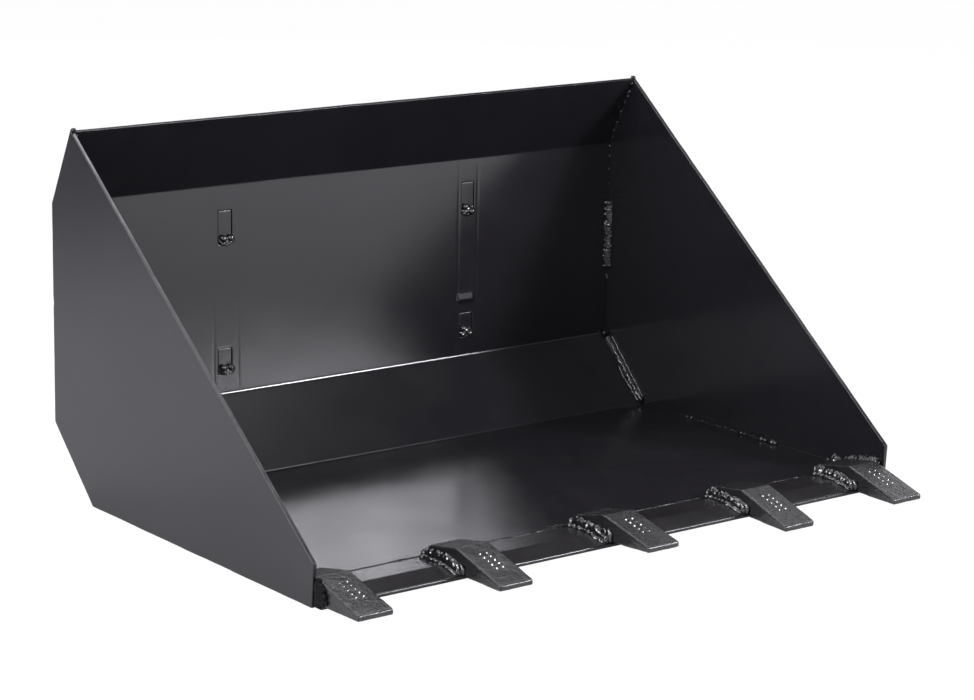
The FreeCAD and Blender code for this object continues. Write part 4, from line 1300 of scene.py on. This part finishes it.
# ------------------------------------------------------------------ floor and world
def floor_material():
    """Pale matt floor whose colour darkens to the rear as painted shade, dimming what the bucket
    reflects there; seen directly it is mostly an even near white.
    """
    material = bpy.data.materials.new("pale_floor")
    nodes = Nodes(material)
    position = nodes.add("NewGeometry").outputs["Position"]
    y = nodes.add("SeparateXYZ", {0: position}).outputs["Y"]
    # painted shade: the floor's colour falls from 0.68 to 0.24 between y 1.35 and 2.9 m, standing in
    # for less light behind the bucket
    floor_painted_shade = nodes.ramp(y, 1.35, 2.9, to_low=0.68, to_high=0.24, interpolation_type="SMOOTHSTEP")
    colour = nodes.add("CombineColor", {"Red": floor_painted_shade, "Green": floor_painted_shade, "Blue": floor_painted_shade})
    matt = nodes.add("BsdfPrincipled", {"Base Color": colour.outputs["Color"],
                                        "Roughness": 0.9, "Specular IOR Level": 0.1})
    glow = nodes.add("Emission", {"Strength": 1.06})
    seen = nodes.add("LightPath").outputs["Is Camera Ray"]
    share = nodes.math("MULTIPLY", seen, 0.93)
    nodes.finish(nodes.add("MixShader", {0: share, 1: matt.outputs[0],
                                         2: glow.outputs[0]}).outputs[0])
    return material


def build_floor():
    half = 12.0
    z = min(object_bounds()[0].z, cad_lo.z) - 0.0004
    mesh = bpy.data.meshes.new("floor")
    corners = [(-half, -half, z), (half, -half, z), (half, half, z), (-half, half, z)]
    mesh.from_pydata(corners, [], [(0, 1, 2, 3)])
    floor = link_object("floor", mesh)
    mesh.materials.append(floor_material())


def build_world():
    """White to the camera, almost dark to everything else."""
    world = bpy.data.worlds.new("studio")
    bpy.context.scene.world = world
    nodes = Nodes(world, "OutputWorld")
    seen = nodes.add("LightPath").outputs["Is Camera Ray"]
    strength = nodes.ramp(seen, 0.0, 1.0, to_low=0.02)
    background = nodes.add("Background", {"Color": (1, 1, 1, 1), "Strength": strength})
    nodes.finish(background.outputs[0])


# ------------------------------------------------------------------ softboxes
# panels on a sphere round the bucket: elevation from, to, azimuth from, to (degrees), radiance
SPHERE_RADIUS, SPHERE_CENTRE = 5.0, (0.0, 0.3, 0.2)
GLOW_COLOUR = (0.995, 0.985, 1.045, 1)
SOFTBOXES = [
    (18, 22, 140, 146, 137.72), (22, 26, 134, 140, 50.15), (22, 26, 140, 146, 48.88),
    (18, 22, 146, 152, 38), (14, 18, 134, 140, 37.65), (18, 22, 134, 140, 31.37),
    (14, 18, 140, 146, 25.61), (26, 30, 134, 140, 22.21), (30, 40, 269, 288, 19.95),
    (26, 30, 140, 146, 17.02), (30, 40, 250, 269, 14.83), (14, 18, 146, 152, 12.12),
    (14, 30, 212, 231, 9.31), (-2, 14, 250, 269, 8.69), (20, 30, 80, 94, 8.22),
    (22, 26, 146, 152, 6.68), (30, 40, 80, 94, 6.06), (30, 40, 288, 307, 4.77),
    (40, 54, 257.1, 282.9, 4.32), (30, 40, 231, 250, 4.27), (10, 14, 146, 152, 3.98),
    (-2, 14, 421, 440, 3.96), (54, 70, 0, 40, 3.65), (14, 30, 250, 269, 2.15),
    (14, 30, 269, 288, 1.86), (-2, 10, 146, 158, 1.6), (54, 70, 280, 320, 1.23),
    (14, 30, 402, 421, 1.18), (14, 30, 421, 440, 1.18), (70, 90, 0, 360, 1.11),
    (54, 70, 80, 120, 0.72), (30, 40, 421, 440, 0.54), (-2, 14, 212, 231, 0.5),
    (-2, 14, 231, 250, 0.5), (-2, 14, 269, 288, 0.5), (-2, 14, 288, 307, 0.5),
    (-2, 14, 307, 326, 0.5), (-2, 14, 326, 345, 0.5), (14, 30, 231, 250, 0.5),
    (14, 30, 288, 307, 0.5), (14, 30, 307, 326, 0.5), (14, 30, 326, 345, 0.5),
    (40, 54, 180, 205.7, 0.5), (40, 54, 205.7, 231.4, 0.5), (40, 54, 231.4, 257.1, 0.5),
    (40, 54, 282.9, 308.6, 0.5), (40, 54, 308.6, 334.3, 0.5), (54, 70, 200, 240, 0.5),
    (54, 70, 240, 280, 0.5), (30, 40, 212, 231, 0.5), (30, 40, 307, 326, 0.5),
    (30, 40, 326, 345, 0.5), (54, 70, 320, 360, 0.37), (-2, 14, 345, 364, 0.3),
    (-2, 14, 364, 383, 0.3), (-2, 14, 383, 402, 0.3), (14, 30, 345, 364, 0.3),
    (14, 30, 364, 383, 0.3), (14, 30, 383, 402, 0.3), (30, 40, 345, 364, 0.3),
    (30, 40, 364, 383, 0.3), (30, 40, 383, 402, 0.3), (30, 40, 94, 108, 0.12),
    (30, 40, 402, 421, 0.09), (56, 70, 45, 105, 8.0), (40, 50, 72, 100, 0.6),
    (26, 32, 60, 70, 0.6), (36, 52, 325, 362, 4.0), (80, 90, 0, 360, 10.0),
]


def build_softbox(number, low, high, start, end, radiance):
    x, y, z = SPHERE_CENTRE
    across, rows = max(2, int((end - start) / 5)), 3
    verts, faces = [], []
    for i in range(rows + 1):
        for j in range(across + 1):
            e = math.radians(low + (high - low) * i / rows)
            a = math.radians(start + (end - start) * j / across)
            verts.append((x + SPHERE_RADIUS * math.sin(a) * math.cos(e),
                          y + SPHERE_RADIUS * math.cos(a) * math.cos(e),
                          z + SPHERE_RADIUS * math.sin(e)))
    for i in range(rows):
        for j in range(across):
            k = i * (across + 1) + j
            faces.append((k, k + 1, k + across + 2, k + across + 1))
    mesh = bpy.data.meshes.new("softbox")
    mesh.from_pydata(verts, [], faces)
    panel = link_object("softbox_%02d" % number, mesh)
    material = bpy.data.materials.new("softbox_glow")
    nodes = Nodes(material)
    glow = nodes.add("Emission", {"Strength": radiance, "Color": GLOW_COLOUR})
    nodes.finish(glow.outputs[0])
    mesh.materials.append(material)
    panel.visible_camera = False


# ------------------------------------------------------------------ assembly
SIDES = (("left", -1.0), ("right", 1.0))
build_shell()
build_side_plates()
build_edge()
for tooth_number in range(1, 6):
    build_tooth(tooth_number)
for side_name, side_sign in SIDES:
    build_inside(side_name, side_sign)
for side_name, side_sign in SIDES:
    build_outside(side_name, side_sign)
build_floor_stitches()
build_edge_underside()
build_seam()
front_masses = Deposit()
for tooth_number in range(1, 6):
    build_tooth_weld(tooth_number, front_masses)
front_masses.build("weld_masses_at_plate_front", DARK_DULL_WELD)
for side_name in RIB_X:
    build_plugs(side_name)
for side_name in RIB_X:
    build_rib_welds(side_name)
build_ledge_welds()
build_ribs()
build_cross_members()

build_camera()
build_floor()
build_world()
for box_number, box in enumerate(SOFTBOXES):
    build_softbox(box_number, *box)

view = bpy.context.scene.view_settings
view.view_transform = "Standard"
view.look = "None"
view.exposure = 0.0
view.gamma = 1.0
